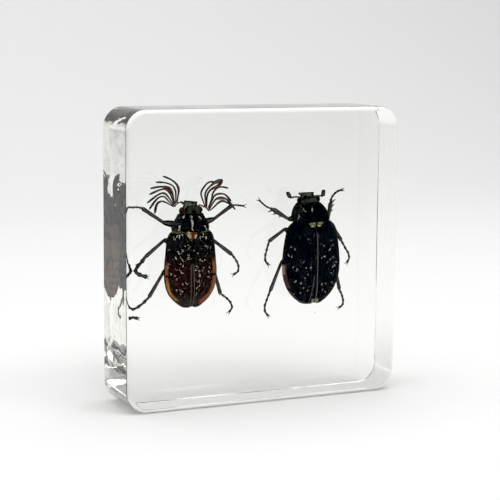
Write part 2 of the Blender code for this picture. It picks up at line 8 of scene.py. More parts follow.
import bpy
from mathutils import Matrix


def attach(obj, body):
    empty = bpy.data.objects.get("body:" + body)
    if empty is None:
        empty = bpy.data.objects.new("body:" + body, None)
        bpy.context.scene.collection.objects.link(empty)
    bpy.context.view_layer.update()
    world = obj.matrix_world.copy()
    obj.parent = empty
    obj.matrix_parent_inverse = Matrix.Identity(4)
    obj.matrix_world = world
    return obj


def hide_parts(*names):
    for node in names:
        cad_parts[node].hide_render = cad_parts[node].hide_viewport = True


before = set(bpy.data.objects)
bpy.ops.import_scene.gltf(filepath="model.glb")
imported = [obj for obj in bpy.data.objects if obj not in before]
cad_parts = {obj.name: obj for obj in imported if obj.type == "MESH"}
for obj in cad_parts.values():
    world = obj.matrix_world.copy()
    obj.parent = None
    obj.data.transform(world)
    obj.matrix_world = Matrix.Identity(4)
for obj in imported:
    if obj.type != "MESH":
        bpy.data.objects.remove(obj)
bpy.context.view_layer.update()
print("nodes:", ", ".join(sorted(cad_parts)))

# %% Modules and the unit of length
import math
import random

import bpy
from mathutils import Matrix, Vector
from mathutils.bvhtree import BVHTree

MM = 0.001

# %% [markdown]
# ## Camera
#
# The photograph was taken from the left and a little above. A long lens keeps the slab's sides almost
# parallel. The place, the turn and the tilt below put the slab's corners where the photograph has them.

# %% Camera
CAMERA_PLACE = (-0.1592, -0.3483, 0.0928)
CAMERA_YAW = 24.45
CAMERA_PITCH = 8.14
CAMERA_ROLL = 0.45
FOCAL_LENGTH = 108.0
SENSOR_WIDTH = 36.0
NEAREST_SEEN = 0.01
FARTHEST_SEEN = 20.0


def add_camera():
    data = bpy.data.cameras.new("camera")
    data.lens = FOCAL_LENGTH
    data.sensor_width = SENSOR_WIDTH
    data.clip_start = NEAREST_SEEN
    data.clip_end = FARTHEST_SEEN
    camera = bpy.data.objects.new("camera", data)
    bpy.context.scene.collection.objects.link(camera)
    yaw, pitch, roll = (math.radians(angle) for angle in (CAMERA_YAW, CAMERA_PITCH, CAMERA_ROLL))
    turn = Matrix.Rotation(-yaw, 4, "Z") @ Matrix.Rotation(math.pi / 2 - pitch, 4, "X")
    camera.matrix_world = Matrix.Translation(CAMERA_PLACE) @ turn @ Matrix.Rotation(roll, 4, "Z")
    bpy.context.scene.camera = camera
    return camera


camera = add_camera()
print("camera looks along", tuple(round(c, 3) for c in camera.matrix_world.to_3x3() @ Vector((0, 0, -1))))

# %% [markdown]
# ## Helpers
#
# Colours are written as the hex values that a paint program shows, so one function turns them to the
# linear numbers that the shaders work in. Another adds a node with its settings and its links. Patterns are
# drawn in millimetres on the piece itself, so that they stay where they are when the camera moves.

# %% Colour and node helpers
# Points closer together than this are merged, in whatever unit the piece is modelled in
SAME_PLACE = 0.0001


def colour(code):
    """An sRGB hex colour as linear red, green, blue and 1."""
    channels = [int(code[i:i + 2], 16) / 255 for i in (0, 2, 4)]
    linear = [c / 12.92 if c <= 0.04045 else ((c + 0.055) / 1.055) ** 2.4 for c in channels]
    return (*linear, 1.0)


def add_node(tree, kind, settings=(), inputs=(), links=()):
    """A node of this kind; inputs are values by socket, links are (socket, node, its output)."""
    made = tree.nodes.new(kind)
    for name, value in dict(settings).items():
        setattr(made, name, value)
    for socket, value in dict(inputs).items():
        made.inputs[socket].default_value = value
    for socket, source, output in links:
        tree.links.new(source.outputs[output], made.inputs[socket])
    return made


def new_material(name, **values):
    """A material and its shader, with constants set straight on the shader's sockets."""
    made = bpy.data.materials.new(name)
    made.use_nodes = True
    shader = made.node_tree.nodes["Principled BSDF"]
    for socket, value in values.items():
        shader.inputs[socket.replace("_", " ")].default_value = value
    return made, made.node_tree, shader


def places_on_piece(tree):
    """Places on the piece in millimetres, and the way its surface faces, for the patterns."""
    place = add_node(tree, "ShaderNodeTexCoord")
    in_mm = add_node(
        tree, "ShaderNodeVectorMath", {"operation": "SCALE"}, {"Scale": 1 / MM}, [(0, place, "Object")],
    )
    return in_mm, add_node(tree, "ShaderNodeSeparateXYZ", links=[(0, place, "Normal")])


print("pure red is", colour("FF0000")[:3], "to a shader")

# %% [markdown]
# ## Stage
#
# The slab stands on a white sheet that curves up behind it. In the photograph the sheet is almost pure
# white where the slab stands and falls to a light grey at the top. It could be a floor and a wall, but the
# corner between them would show as a line, so one strip is carried round a wide curve instead.

# %% Floor and backdrop
SHEET_WIDTH = 3.0
SHEET_FRONT = -1.4
SHEET_BACK = 0.9
SHEET_CURVE = 0.5
SHEET_CURVE_STEPS = 12
SHEET_HEIGHT = 1.8
SHEET_LEVEL = -0.0002


def add_sheet():
    """A strip's front edge, extruded back along the floor, round the curve and up."""
    path = [(SHEET_FRONT, SHEET_LEVEL), (SHEET_BACK - SHEET_CURVE, SHEET_LEVEL)]
    for step in range(1, SHEET_CURVE_STEPS + 1):
        angle = math.radians(90 * step / SHEET_CURVE_STEPS)
        path.append((
            SHEET_BACK - SHEET_CURVE + SHEET_CURVE * math.sin(angle),
            SHEET_LEVEL + SHEET_CURVE * (1 - math.cos(angle)),
        ))
    path.append((SHEET_BACK, SHEET_HEIGHT))
    bpy.ops.object.select_all(action="DESELECT")
    bpy.ops.mesh.primitive_plane_add(size=SHEET_WIDTH, location=(0, 0, 0))
    sheet = bpy.context.object
    sheet.name = "backdrop_sheet"
    bpy.ops.object.mode_set(mode="EDIT")
    bpy.ops.transform.resize(value=(1, 0, 1))
    bpy.ops.mesh.remove_doubles(threshold=SAME_PLACE)
    bpy.ops.transform.translate(value=(0, *path[0]))
    for before, after in zip(path, path[1:]):
        step = (0, after[0] - before[0], after[1] - before[1])
        bpy.ops.mesh.extrude_edges_move(TRANSFORM_OT_translate={"value": step})
    bpy.ops.mesh.select_all(action="SELECT")
    bpy.ops.mesh.normals_make_consistent(inside=False)
    bpy.ops.object.mode_set(mode="OBJECT")
    bpy.ops.object.shade_smooth()
    return sheet


sheet = add_sheet()
# Uncoated white paper: its fibres scatter the light, so it looks about as bright from every side
paper, _, _ = new_material("white_paper_sheet", Roughness=0.9, Base_Color=colour("F4F4F3"))
sheet.data.materials.append(paper)
print("sheet reaches", SHEET_BACK, "m behind the slab")

# %% [markdown]
# ## Light
#
# A clear thing is lit softly and from above, so that its edges draw themselves. One large softbox hangs
# over the slab, and a smaller one in front lightens the floor before it. That one lightens the narrow side
# on the left as well, though less. The world adds an even light from all round.
#
# The slab mirrors the bright room as a thin grey veil over the dark beetles. With every finish on them
# painted black it still measures 0.041 in linear light, so the black level takes that much off, as a
# photographer may when a picture is developed. It changes the picture and no material.

# %% Light
WORLD_COLOUR = "F2F3F4"
WORLD_STRENGTH = 0.42
# Each softbox: its place and the point it looks at, its sides in metres, and its power in watts
SOFTBOXES = {
    "softbox_above": ((-0.12, 0.05, 0.8), (-0.12, 0.05, 0.0), (1.6, 0.9), 5.9),
    "softbox_in_front": ((0.15, -0.6, 0.9), (0.05, -0.1, 0.0), (0.9, 0.4), 3.7),
}
BLACK_LEVEL = 0.041
GLOSSY_BOUNCES = 12


def add_softbox(name, place, target, size, power):
    data = bpy.data.lights.new(name, "AREA")
    data.shape = "RECTANGLE"
    data.size, data.size_y = size
    data.energy = power
    lamp = bpy.data.objects.new(name, data)
    bpy.context.scene.collection.objects.link(lamp)
    lamp.location = place
    lamp.rotation_euler = (Vector(target) - Vector(place)).to_track_quat("-Z", "Y").to_euler()


world = bpy.data.worlds.new("studio")
bpy.context.scene.world = world
world.use_nodes = True
backdrop = world.node_tree.nodes["Background"]
backdrop.inputs["Color"].default_value = colour(WORLD_COLOUR)
backdrop.inputs["Strength"].default_value = WORLD_STRENGTH
for name, values in SOFTBOXES.items():
    add_softbox(name, *values)
look = bpy.context.scene.view_settings
look.view_transform = "Standard"
look.use_curve_mapping = True
look.curve_mapping.black_level = (BLACK_LEVEL, BLACK_LEVEL, BLACK_LEVEL)
look.curve_mapping.update()
# Light that is caught inside the clear slab is mirrored many times before it finds a way out, and every
# mirroring counts as a glossy bounce. With the usual four, the lower end of the left side is too dark.
path_tracer = getattr(bpy.context.scene, "cycles", None)
if path_tracer:
    path_tracer.glossy_bounces = GLOSSY_BOUNCES

# %% [markdown]
# ## How a beetle is modelled
#
# Each beetle is modelled lying on its belly, with one Blender unit to the millimetre: +X is across it, +Y
# towards its head and +Z out of its back. Such numbers are easy to read, and the operators work better on
# them than on fractions of a millimetre. A finished piece is then made small, stood up and carried to its
# place in the slab, and that place is applied to its mesh.

# %% From the workbench to the slab
MALE = {"name": "male", "place": (-18.8, 38.0), "slot": "male_beetle_shell"}
FEMALE = {"name": "female", "place": (15.0, 38.0), "slot": "female_beetle_shell"}


def select_only(*pieces):
    bpy.ops.object.select_all(action="DESELECT")
    for piece in pieces:
        piece.select_set(True)
    bpy.context.view_layer.objects.active = pieces[0]


def stand_in_slab(piece, beetle, material):
    """From millimetres lying flat to metres, upright, back towards the front face."""
    select_only(piece)
    piece.scale = (MM, MM, MM)
    piece.rotation_euler = (math.pi / 2, 0, 0)
    piece.location = (beetle["place"][0] * MM, 0, beetle["place"][1] * MM)
    bpy.ops.object.transform_apply(location=True, rotation=True, scale=True)
    piece.data.materials.clear()
    piece.data.materials.append(material)
    piece.name = beetle["name"] + "_" + piece.name.split(".")[0]
    piece.data.name = piece.name
    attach(piece, "root")
    return piece


print("the male stands at", MALE["place"], "and the female at", FEMALE["place"])

# %% [markdown]
# ## Skins drawn from a section
#
# The shell of a beetle is a set of plates that keep one cross-section while it grows and shrinks along the
# body. So a line of edges is drawn in the shape of that section, from one vertex that is extruded from
# point to point, and the line is then extruded from station to station and resized at each. This is how a
# boat's hull is built on its frames, and it gives clean rows of four-sided faces that subdivide well.

# %% Draw a section and extrude it along the body
# Fine wrinkling of each surface, in millimetres: how deep, and how coarse
WRINKLES = {
    "wing_case": (0.11, 0.5), "underside": (0.06, 0.35), "pronotum": (0.05, 0.3),
    "head": (0.08, 0.4), "mouth_plate": (0.04, 0.3), "shield": (0.03, 0.3),
}


def draw_line(name, points, closed=False):
    """A line of edges, from one vertex that is extruded from point to point."""
    bpy.ops.object.select_all(action="DESELECT")
    bpy.ops.mesh.primitive_plane_add(size=1.0, location=(0, 0, 0))
    piece = bpy.context.object
    piece.name = name
    bpy.ops.object.mode_set(mode="EDIT")
    bpy.ops.mesh.merge(type="CENTER")
    bpy.ops.transform.translate(value=points[0])
    path = list(points) + [points[0]] if closed else list(points)
    for before, after in zip(path, path[1:]):
        step = Vector(after) - Vector(before)
        bpy.ops.mesh.extrude_vertices_move(TRANSFORM_OT_translate={"value": step})
    bpy.ops.mesh.select_all(action="SELECT")
    if closed:
        bpy.ops.mesh.remove_doubles(threshold=SAME_PLACE)
    return piece


def close_ends():
    """A face over the loop that is selected, and one over the loop that is still open."""
    bpy.ops.mesh.edge_face_add()
    bpy.ops.mesh.select_all(action="DESELECT")
    bpy.ops.mesh.select_non_manifold()
    bpy.ops.mesh.edge_face_add()


def loft(name, section, stations, closed=False):
    """A skin over stations, each (ahead, where the section starts across, width, height, level)."""
    ahead, across, width, height, level = stations[0]
    piece = draw_line(name, [(across + width * x, ahead, level + height * z) for x, z in section], closed)
    for before, after in zip(stations, stations[1:]):
        step = (after[1] - before[1], after[0] - before[0], after[4] - before[4])
        bpy.ops.mesh.extrude_edges_move(TRANSFORM_OT_translate={"value": step})
        growth = (after[2] / before[2], 1, after[3] / before[3])
        bpy.ops.transform.resize(value=growth, center_override=(after[1], after[0], after[4]))
    if closed:
        close_ends()
    bpy.ops.mesh.select_all(action="SELECT")
    bpy.ops.mesh.normals_make_consistent(inside=False)
    bpy.ops.object.mode_set(mode="OBJECT")
    return piece


def both_sides(half):
    """The whole section round, from its right half, listed from the top middle to the bottom middle."""
    return list(half) + [(-x, z) for x, z in reversed(half[1:-1])]


def finish(piece, surface=None, levels=2, thickness=0.0):
    """Wall thickness, smooth subdivision and a fine wrinkling of the surface, all applied."""
    select_only(piece)
    if thickness:
        wall = piece.modifiers.new("wall", "SOLIDIFY")
        wall.thickness = thickness
        wall.offset = -1
        bpy.ops.object.modifier_apply(modifier="wall")
    round_off = piece.modifiers.new("round", "SUBSURF")
    round_off.levels = round_off.render_levels = levels
    bpy.ops.object.modifier_apply(modifier="round")
    if surface:
        wrinkle, grain = WRINKLES[surface]
        clouds = bpy.data.textures.new("wrinkles", "CLOUDS")
        clouds.noise_scale = grain
        relief = piece.modifiers.new("wrinkles", "DISPLACE")
        relief.texture = clouds
        relief.texture_coords = "LOCAL"
        relief.strength = wrinkle
        bpy.ops.object.modifier_apply(modifier="wrinkles")
    bpy.ops.object.shade_smooth()
    return piece


def swell(piece, place, lift, reach):
    """The vertex nearest to a place, raised, with those around it following."""
    select_only(piece)
    distances = [(vertex.co - Vector(place)).length for vertex in piece.data.vertices]
    bpy.ops.object.mode_set(mode="EDIT")
    bpy.ops.mesh.select_all(action="DESELECT")
    bpy.ops.object.mode_set(mode="OBJECT")
    piece.data.vertices[distances.index(min(distances))].select = True
    bpy.ops.object.mode_set(mode="EDIT")
    bpy.ops.transform.translate(
        value=lift, use_proportional_edit=True, use_proportional_connected=True,
        proportional_size=reach, proportional_edit_falloff="SMOOTH",
    )
    bpy.ops.object.mode_set(mode="OBJECT")


print("skins are drawn in millimetres, from a section and its stations")

# %% [markdown]
# ## Wing cases
#
# The two hard wing cases are the back that the photograph shows. Each is a thin vaulted shell with a raised
# bead along the seam, faint ribs, a groove and a lip at its outer margin, and a rounded tip of its own.
# They give way to the small shield at the front. The section starts at the seam and ends at the margin. A
# swelling at each shoulder and before each tip is pulled up with proportional editing. Towards the tail the
# photograph shows a second fine line beside the seam. It is taken for a slight gape, and the finish draws it.

# %% Wing cases
WING_SECTION = (
    (0.0, 0.74), (0.006, 0.90), (0.018, 0.975), (0.04, 0.985), (0.058, 0.945), (0.10, 0.957), (0.19, 0.972),
    (0.25, 0.985), (0.31, 0.965), (0.42, 0.938), (0.49, 0.92), (0.56, 0.872), (0.67, 0.79), (0.77, 0.68),
    (0.86, 0.53), (0.925, 0.37), (0.96, 0.22), (0.972, 0.10), (0.988, 0.08), (1.0, 0.01), (0.98, -0.09),
)
WING_LEVEL = 0.2
WING_THICKNESS = 0.3
SEAM_CLEARANCE = 0.02
# Stations from tail to shoulder: ahead, half width, height, gap between seam and inner edge
MALE["wing_stations"] = (
    (-13.15, 1.55, 0.6, 0.75), (-13.0, 2.2, 1.1, 0.5), (-12.65, 2.8, 1.6, 0.25), (-12.1, 3.55, 2.15, 0.08),
    (-11.4, 4.45, 2.75, 0), (-10.4, 5.45, 3.3, 0), (-9.0, 6.35, 3.75, 0), (-7.4, 6.88, 4.0, 0),
    (-5.2, 7.19, 4.2, 0), (-3.0, 7.17, 4.19, 0), (-0.6, 6.92, 4.08, 0), (1.8, 6.69, 3.97, 0),
    (3.6, 6.5, 3.88, 0), (4.3, 6.38, 3.82, 0.2), (5.1, 6.15, 3.7, 0.85),
    (5.8, 5.75, 3.5, 1.45), (6.3, 5.2, 3.2, 1.8), (6.6, 4.7, 2.6, 1.8),
)
# Two places, (ahead, across), that the seam and the line of the gape pass through
MALE["seam"] = ((-13.1, 0.1), (7.3, -0.7))
MALE["gape"] = ((-12.0, -0.55), (-1.5, -0.85))
# Swellings of each wing case: across, ahead and level of the middle, how far it is lifted, its reach
MALE["bumps"] = ((4.9, 4.3, 3.2, 0.45, 1.7), (3.6, -10.4, 3.0, 0.25, 1.6))
FEMALE["wing_stations"] = (
    (-14.4, 1.7, 0.6, 0.85), (-14.28, 2.4, 1.1, 0.55), (-13.95, 3.2, 1.7, 0.25), (-13.3, 4.15, 2.3, 0.06),
    (-12.4, 5.2, 2.93, 0), (-11.2, 6.29, 3.38, 0), (-9.6, 7.3, 3.78, 0), (-7.8, 7.96, 4.03, 0),
    (-5.6, 8.4, 4.2, 0), (-3.2, 8.43, 4.21, 0), (-0.6, 8.21, 4.13, 0), (2.0, 7.87, 4.0, 0),
    (4.2, 7.38, 3.85, 0), (5.2, 7.15, 3.75, 0.1), (5.9, 6.85, 3.6, 1.0), (6.6, 6.3, 3.35, 1.9),
    (7.2, 5.5, 3.0, 2.4), (7.5, 4.9, 2.5, 2.4),
)
FEMALE["seam"] = ((-14.5, 0.6), (8.3, 0.5))
FEMALE["gape"] = ((-13.6, -1.0), (-7.0, -0.1))
FEMALE["bumps"] = ((5.4, 4.8, 3.2, 0.4, 1.8), (4.3, -10.8, 3.0, 0.25, 1.8))


def seam_across(beetle, ahead):
    (tail, at_tail), (front, at_front) = beetle["seam"]
    return at_tail + (at_front - at_tail) * (ahead - tail) / (front - tail)


def wing_case(beetle, side):
    stations = []
    for ahead, half_width, height, gap in beetle["wing_stations"]:
        inner = seam_across(beetle, ahead) + side * (gap + SEAM_CLEARANCE)
        stations.append((ahead, inner, side * half_width - inner, height, WING_LEVEL))
    case = loft("wing_case_" + ("left" if side < 0 else "right"), WING_SECTION, stations)
    for across, ahead, level, lift, reach in beetle["bumps"]:
        swell(case, (side * across, ahead, level), (0, 0, lift), reach)
    return case


def note_distances(case, beetle):
    """Attributes for the finish, in millimetres: how far each point is from margin, seam and gape."""
    rims = {}
    for side in (-1, 1):
        # The two stations at the front belong to the shoulder and not to the margin
        rims[side] = [Vector((side * half, ahead)) for ahead, half, *_ in beetle["wing_stations"][:-2]]
    names = ("from_margin", "from_seam", "from_gape")
    margin, seam, gape = (case.data.attributes.new(name, "FLOAT", "POINT") for name in names)
    (low, at_low), (high, at_high) = beetle["gape"]
    for index, vertex in enumerate(case.data.vertices):
        place = vertex.co.xy
        middle = seam_across(beetle, place.y)
        side = 1 if place.x > middle else -1
        gaps = []
        for start, stop in zip(rims[side], rims[side][1:]):
            run = stop - start
            share = min(1.0, max(0.0, (place - start).dot(run) / run.length_squared))
            gaps.append((place - start - run * share).length)
        line = at_low + (at_high - at_low) * (place.y - low) / (high - low)
        margin.data[index].value = min(gaps)
        seam.data[index].value = abs(place.x - middle)
        gape.data[index].value = abs(place.x - line)


for beetle in (MALE, FEMALE):
    beetle["wing_cases"] = []
    for side in (-1, 1):
        case = wing_case(beetle, side)
        finish(case, "wing_case", thickness=WING_THICKNESS)
        note_distances(case, beetle)
        beetle["wing_cases"].append(case)
        print(beetle["name"], case.name, len(case.data.polygons), "faces")

# %% [markdown]
# ## Underside
#
# The belly is a row of ring-shaped plates that overlap like roof tiles, and the chest in front of them is
# one strong box. Both are one skin here: the same closed section, with a small step wherever one plate ends
# and the next begins. The photograph doesn't show this side, so it is a guess.

# %% Underside
BELLY_HALF = (
    (0.0, 0.22), (0.5, 0.22), (0.85, 0.2), (0.97, 0.08), (1.0, -0.08), (0.96, -0.3), (0.85, -0.55),
    (0.67, -0.76), (0.45, -0.91), (0.22, -0.985), (0.0, -1.0),
)
BELLY_DEPTH = 4.1
BELLY_FULLNESS = 0.6
# How far the belly stays inside the wing cases, across and at the first two stations from the tail
BELLY_INSET = 0.25
TAIL_INSETS = (0.15, 0.25)
PLATE_STEP = 0.15
# Stations round the edge of a plate, as places ahead of it; those within the step's reach are narrower
PLATE_STATIONS = (-0.7, -0.08, 0.04)
STEP_REACH = 0.5
CHEST_STATIONS = (0.0, 4.2, 5.6)
MALE["plates"] = (-12.2, -10.6, -8.9, -7.1, -5.2, -3.1, 2.6)
FEMALE["plates"] = (-12.9, -11.2, -9.4, -7.5, -5.5, -3.3, 2.9)


def between(rows, ahead, column):
    """A value of the table at a place between its rows."""
    for low, high in zip(rows, rows[1:]):
        if low[0] <= ahead <= high[0]:
            return low[column] + (high[column] - low[column]) * (ahead - low[0]) / (high[0] - low[0])
    return rows[-1][column] if ahead > rows[-1][0] else rows[0][column]


def underside(beetle):
    rows = beetle["wing_stations"]
    widest = max(row[1] for row in rows)
    places = [row[0] + inset for row, inset in zip(rows, TAIL_INSETS)]
    places += [edge + offset for edge in beetle["plates"] for offset in PLATE_STATIONS]
    places += [*CHEST_STATIONS, rows[-1][0]]
    stations = []
    for ahead in sorted(places):
        half_width = between(rows, ahead, 1) - BELLY_INSET
        depth = BELLY_DEPTH * (half_width / widest) ** BELLY_FULLNESS
        step = PLATE_STEP if any(0 < edge - ahead < STEP_REACH for edge in beetle["plates"]) else 0
        stations.append((ahead, 0, half_width - step, depth - 2 * step, 0))
    return loft("underside", both_sides(BELLY_HALF), stations, closed=True)


def note_joints(piece, beetle):
    """An attribute for the finish: how far each point is from the nearest plate edge, in millimetres."""
    joints = piece.data.attributes.new("from_joint", "FLOAT", "POINT")
    for vertex, value in zip(piece.data.vertices, joints.data):
        value.value = min(abs(vertex.co.y - edge) for edge in beetle["plates"])


for beetle in (MALE, FEMALE):
    beetle["underside"] = finish(underside(beetle), "underside")
    note_joints(beetle["underside"], beetle)
    print(beetle["name"], "underside", len(beetle["underside"].data.polygons), "faces")

# %% [markdown]
# ## Front body
#
# The broad plate behind the head is vaulted, with a thin raised rim at its sides and a shallow furrow down
# its middle. Its hind edge swings back over the small shield. The head is a short box with an eye at each
# side. The female's front body leans a little to her left, so her sections shift across.

# %% Plate behind the head, and the head
PRONOTUM_HALF = (
    (0.0, 0.975), (0.07, 0.99), (0.2, 0.995), (0.36, 0.96), (0.52, 0.89), (0.67, 0.775), (0.8, 0.61),
    (0.9, 0.41), (0.955, 0.24), (0.97, 0.13), (0.99, 0.11), (1.0, 0.0), (0.975, -0.1), (0.88, -0.36),
    (0.7, -0.6), (0.4, -0.78), (0.0, -0.84),
)
HEAD_HALF = (
    (0.0, 0.96), (0.25, 1.0), (0.5, 0.94), (0.75, 0.78), (0.92, 0.5), (1.0, 0.15), (0.97, -0.2),
    (0.82, -0.5), (0.5, -0.7), (0.0, -0.75),
)
LEAN = 0.18
LEAN_START = 6.8
# The hind edge swings back in its middle, and a shallow dent lies on each side of the furrow
REAR_SWING = -0.35
REAR_SWING_REACH = 3.2
DENT_ACROSS = 3.2
DENT_AHEAD_OF_REAR = 2.6
DENT_LEVEL = 3.2
DENT_DEPTH = 0.16
DENT_REACH = 0.9
DENT_LEAN_PLACE = 9
# Stations: ahead, half width, height
MALE["pronotum_stations"] = (
    (5.95, 4.2, 3.0), (6.08, 4.6, 3.45), (6.4, 4.95, 3.8), (7.0, 5.15, 3.93), (7.7, 5.08, 3.9),
    (8.5, 4.72, 3.7), (9.3, 4.2, 3.38), (10.0, 3.75, 3.05), (10.6, 3.45, 2.7), (10.9, 3.2, 2.35),
)
MALE["head_stations"] = (
    (10.3, 2.7, 2.2), (10.9, 2.75, 2.4), (11.5, 2.6, 2.3), (12.1, 2.25, 2.0), (12.6, 1.95, 1.7),
    (13.0, 1.8, 1.3), (13.2, 1.6, 0.9),
)
FEMALE["pronotum_stations"] = (
    (6.85, 4.3, 3.0), (7.0, 4.9, 3.4), (7.35, 5.35, 3.78), (8.0, 5.58, 3.93), (8.8, 5.5, 3.9),
    (9.7, 5.25, 3.78), (10.7, 4.75, 3.5), (11.6, 4.05, 3.1), (12.2, 3.4, 2.7), (12.5, 3.0, 2.3),
)
FEMALE["head_stations"] = (
    (11.9, 3.0, 2.2), (12.4, 3.05, 2.4), (12.9, 2.9, 2.3), (13.4, 2.5, 2.0), (13.9, 2.1, 1.6),
    (14.2, 1.9, 1.2), (14.35, 1.7, 0.85),
)


def lean(beetle, ahead):
    return -LEAN * max(0.0, ahead - LEAN_START) if beetle is FEMALE else 0.0


def front_body(beetle, name, half):
    rows = beetle[name + "_stations"]
    stations = [(ahead, lean(beetle, ahead), width, height, 0) for ahead, width, height in rows]
    return loft(name, both_sides(half), stations, closed=True)


for beetle in (MALE, FEMALE):
    plate = front_body(beetle, "pronotum", PRONOTUM_HALF)
    rear = beetle["pronotum_stations"][0]
    swell(plate, (lean(beetle, rear[0]), rear[0], rear[2]), (0, REAR_SWING, 0), REAR_SWING_REACH)
    for side in (-1, 1):
        across = side * DENT_ACROSS + lean(beetle, DENT_LEAN_PLACE)
        swell(plate, (across, rear[0] + DENT_AHEAD_OF_REAR, DENT_LEVEL), (0, 0, -DENT_DEPTH), DENT_REACH)
    beetle["pronotum"] = finish(plate, "pronotum")
    beetle["head"] = finish(front_body(beetle, "head", HEAD_HALF), "head")
    print(beetle["name"], "front body", len(beetle["pronotum"].data.polygons), "faces")

# %% [markdown]
# ## Shield, mouth plate and eyes
#
# The plate over the mouth is a flat tray with an upturned rim, so it starts as a block whose top is inset
# and pushed down. The shield between the wing cases is a small heart-shaped dome, and the eyes are balls
# sunk in the sides of the head.

# %% Mouth plate
MALE["mouth_plate"] = {"front": (-0.35, 13.95), "width": 3.6, "turn": -7}
FEMALE["mouth_plate"] = {"front": (-1.8, 15.0), "width": 3.7, "turn": 0}
MOUTH_PLATE_LEVEL = 1.35
MOUTH_PLATE_LENGTH = 2.7
MOUTH_PLATE_THICKNESS = 0.5
MOUTH_PLATE_RIM = 0.28
MOUTH_PLATE_LIP = 0.5
MOUTH_PLATE_SLOPE = 0.14
MOUTH_PLATE_HOLLOW = 0.16
MOUTH_PLATE_ROOT_SHARE = 0.78
MOUTH_PLATE_ROUNDING = 0.05


def select_faces(piece, wanted):
    """In edit mode, the faces whose middle and normal pass the test, and no others."""
    bpy.ops.mesh.select_all(action="DESELECT")
    bpy.ops.object.mode_set(mode="OBJECT")
    for face in piece.data.polygons:
        face.select = wanted(face.center, face.normal)
    bpy.ops.object.mode_set(mode="EDIT")


def mouth_plate(beetle):
    shape = beetle["mouth_plate"]
    bpy.ops.object.select_all(action="DESELECT")
    bpy.ops.mesh.primitive_cube_add(size=1.0, location=(0, 0, 0))
    plate = bpy.context.object
    plate.name = "mouth_plate"
    plate.scale = (shape["width"], MOUTH_PLATE_LENGTH, MOUTH_PLATE_THICKNESS)
    bpy.ops.object.transform_apply(location=False, rotation=False, scale=True)
    bpy.ops.object.mode_set(mode="EDIT")
    bpy.ops.mesh.select_mode(type="FACE")
    select_faces(plate, lambda middle, normal: normal.z > 0.9)
    bpy.ops.mesh.inset(thickness=MOUTH_PLATE_RIM, depth=0)
    bpy.ops.mesh.inset(thickness=MOUTH_PLATE_SLOPE, depth=-MOUTH_PLATE_HOLLOW)
    select_faces(plate, lambda middle, normal: normal.y < -0.9)
    bpy.ops.transform.resize(value=(MOUTH_PLATE_ROOT_SHARE, 1, 1), center_override=(0, 0, 0))
    select_faces(plate, lambda middle, normal: normal.y > 0.9 and middle.y > 0.9)
    bpy.ops.transform.translate(value=(0, 0, MOUTH_PLATE_LIP))
    bpy.ops.mesh.select_mode(type="EDGE")
    bpy.ops.mesh.select_all(action="SELECT")
    bpy.ops.mesh.bevel(offset=MOUTH_PLATE_ROUNDING, segments=2, affect="EDGES")
    bpy.ops.mesh.select_mode(type="VERT")
    bpy.ops.object.mode_set(mode="OBJECT")
    plate.rotation_euler = (0, 0, math.radians(shape["turn"]))
    middle = Vector((0, -MOUTH_PLATE_LENGTH / 2, MOUTH_PLATE_LEVEL))
    middle.rotate(plate.rotation_euler)
    plate.location = Vector((*shape["front"], 0)) + middle
    bpy.ops.object.transform_apply(location=True, rotation=True, scale=True)
    return plate


for beetle in (MALE, FEMALE):
    beetle["plate"] = finish(mouth_plate(beetle), "mouth_plate", levels=1)
    print(beetle["name"], "mouth plate", [round(side, 1) for side in beetle["plate"].dimensions], "mm")

# %% Shield between the wing cases, and eyes
SHIELD_HALF = ((0.0, 1.0), (0.3, 0.98), (0.6, 0.88), (0.85, 0.6), (1.0, 0.1), (0.9, -0.6), (0.0, -1.0))
MALE["shield"] = {"front": (-0.5, 6.5), "half_width": 1.9, "length": 2.7, "level": 3.25}
FEMALE["shield"] = {"front": (0.3, 7.5), "half_width": 2.4, "length": 2.5, "level": 3.15}
# Shares of the shield's length, half width and rise, from its tip to its front
SHIELD_SHAPE = (
    (-1.0, 0.05, 0.3), (-0.93, 0.2, 0.6), (-0.75, 0.46, 0.85), (-0.5, 0.72, 1.0), (-0.25, 0.92, 1.0),
    (0, 1.0, 0.9),
)
SHIELD_RISE = 0.62
MALE["eyes"] = ((-2.3, 11.5, 0.7), (2.2, 11.6, 0.7))
FEMALE["eyes"] = ((-3.5, 12.9, 0.7), (1.3, 13.0, 0.7))
EYE_RADIUS = 0.92


def shield(beetle):
    shape = beetle["shield"]
    (across, ahead), half_width, length = shape["front"], shape["half_width"], shape["length"]
    stations = [
        (ahead + place * length, across, half_width * width, SHIELD_RISE * rise, shape["level"])
        for place, width, rise in SHIELD_SHAPE
    ]
    return loft("shield", both_sides(SHIELD_HALF), stations, closed=True)


def eyes(beetle):
    balls = []
    for place in beetle["eyes"]:
        bpy.ops.mesh.primitive_uv_sphere_add(segments=28, ring_count=18, radius=EYE_RADIUS, location=place)
        balls.append(bpy.context.object)
    select_only(*balls)
    bpy.ops.object.join()
    bpy.ops.object.transform_apply(location=True, rotation=True, scale=True)
    bpy.ops.object.shade_smooth()
    balls[0].name = "eyes"
    return balls[0]


for beetle in (MALE, FEMALE):
    beetle["shield_piece"] = finish(shield(beetle), "shield")
    beetle["eye_pair"] = eyes(beetle)
    print(beetle["name"], "shield and eyes in place")

# %% [markdown]
# ## Legs
#
# Six legs have the same parts, so each part is modelled once, a unit long and a unit thick, and copied to
# where it belongs: a thigh, a shin with two keels, a broad digging shin, a spur, a foot joint that widens
# to its end, and a claw that curves. A copy has its own mesh, and the parts of a leg are joined.

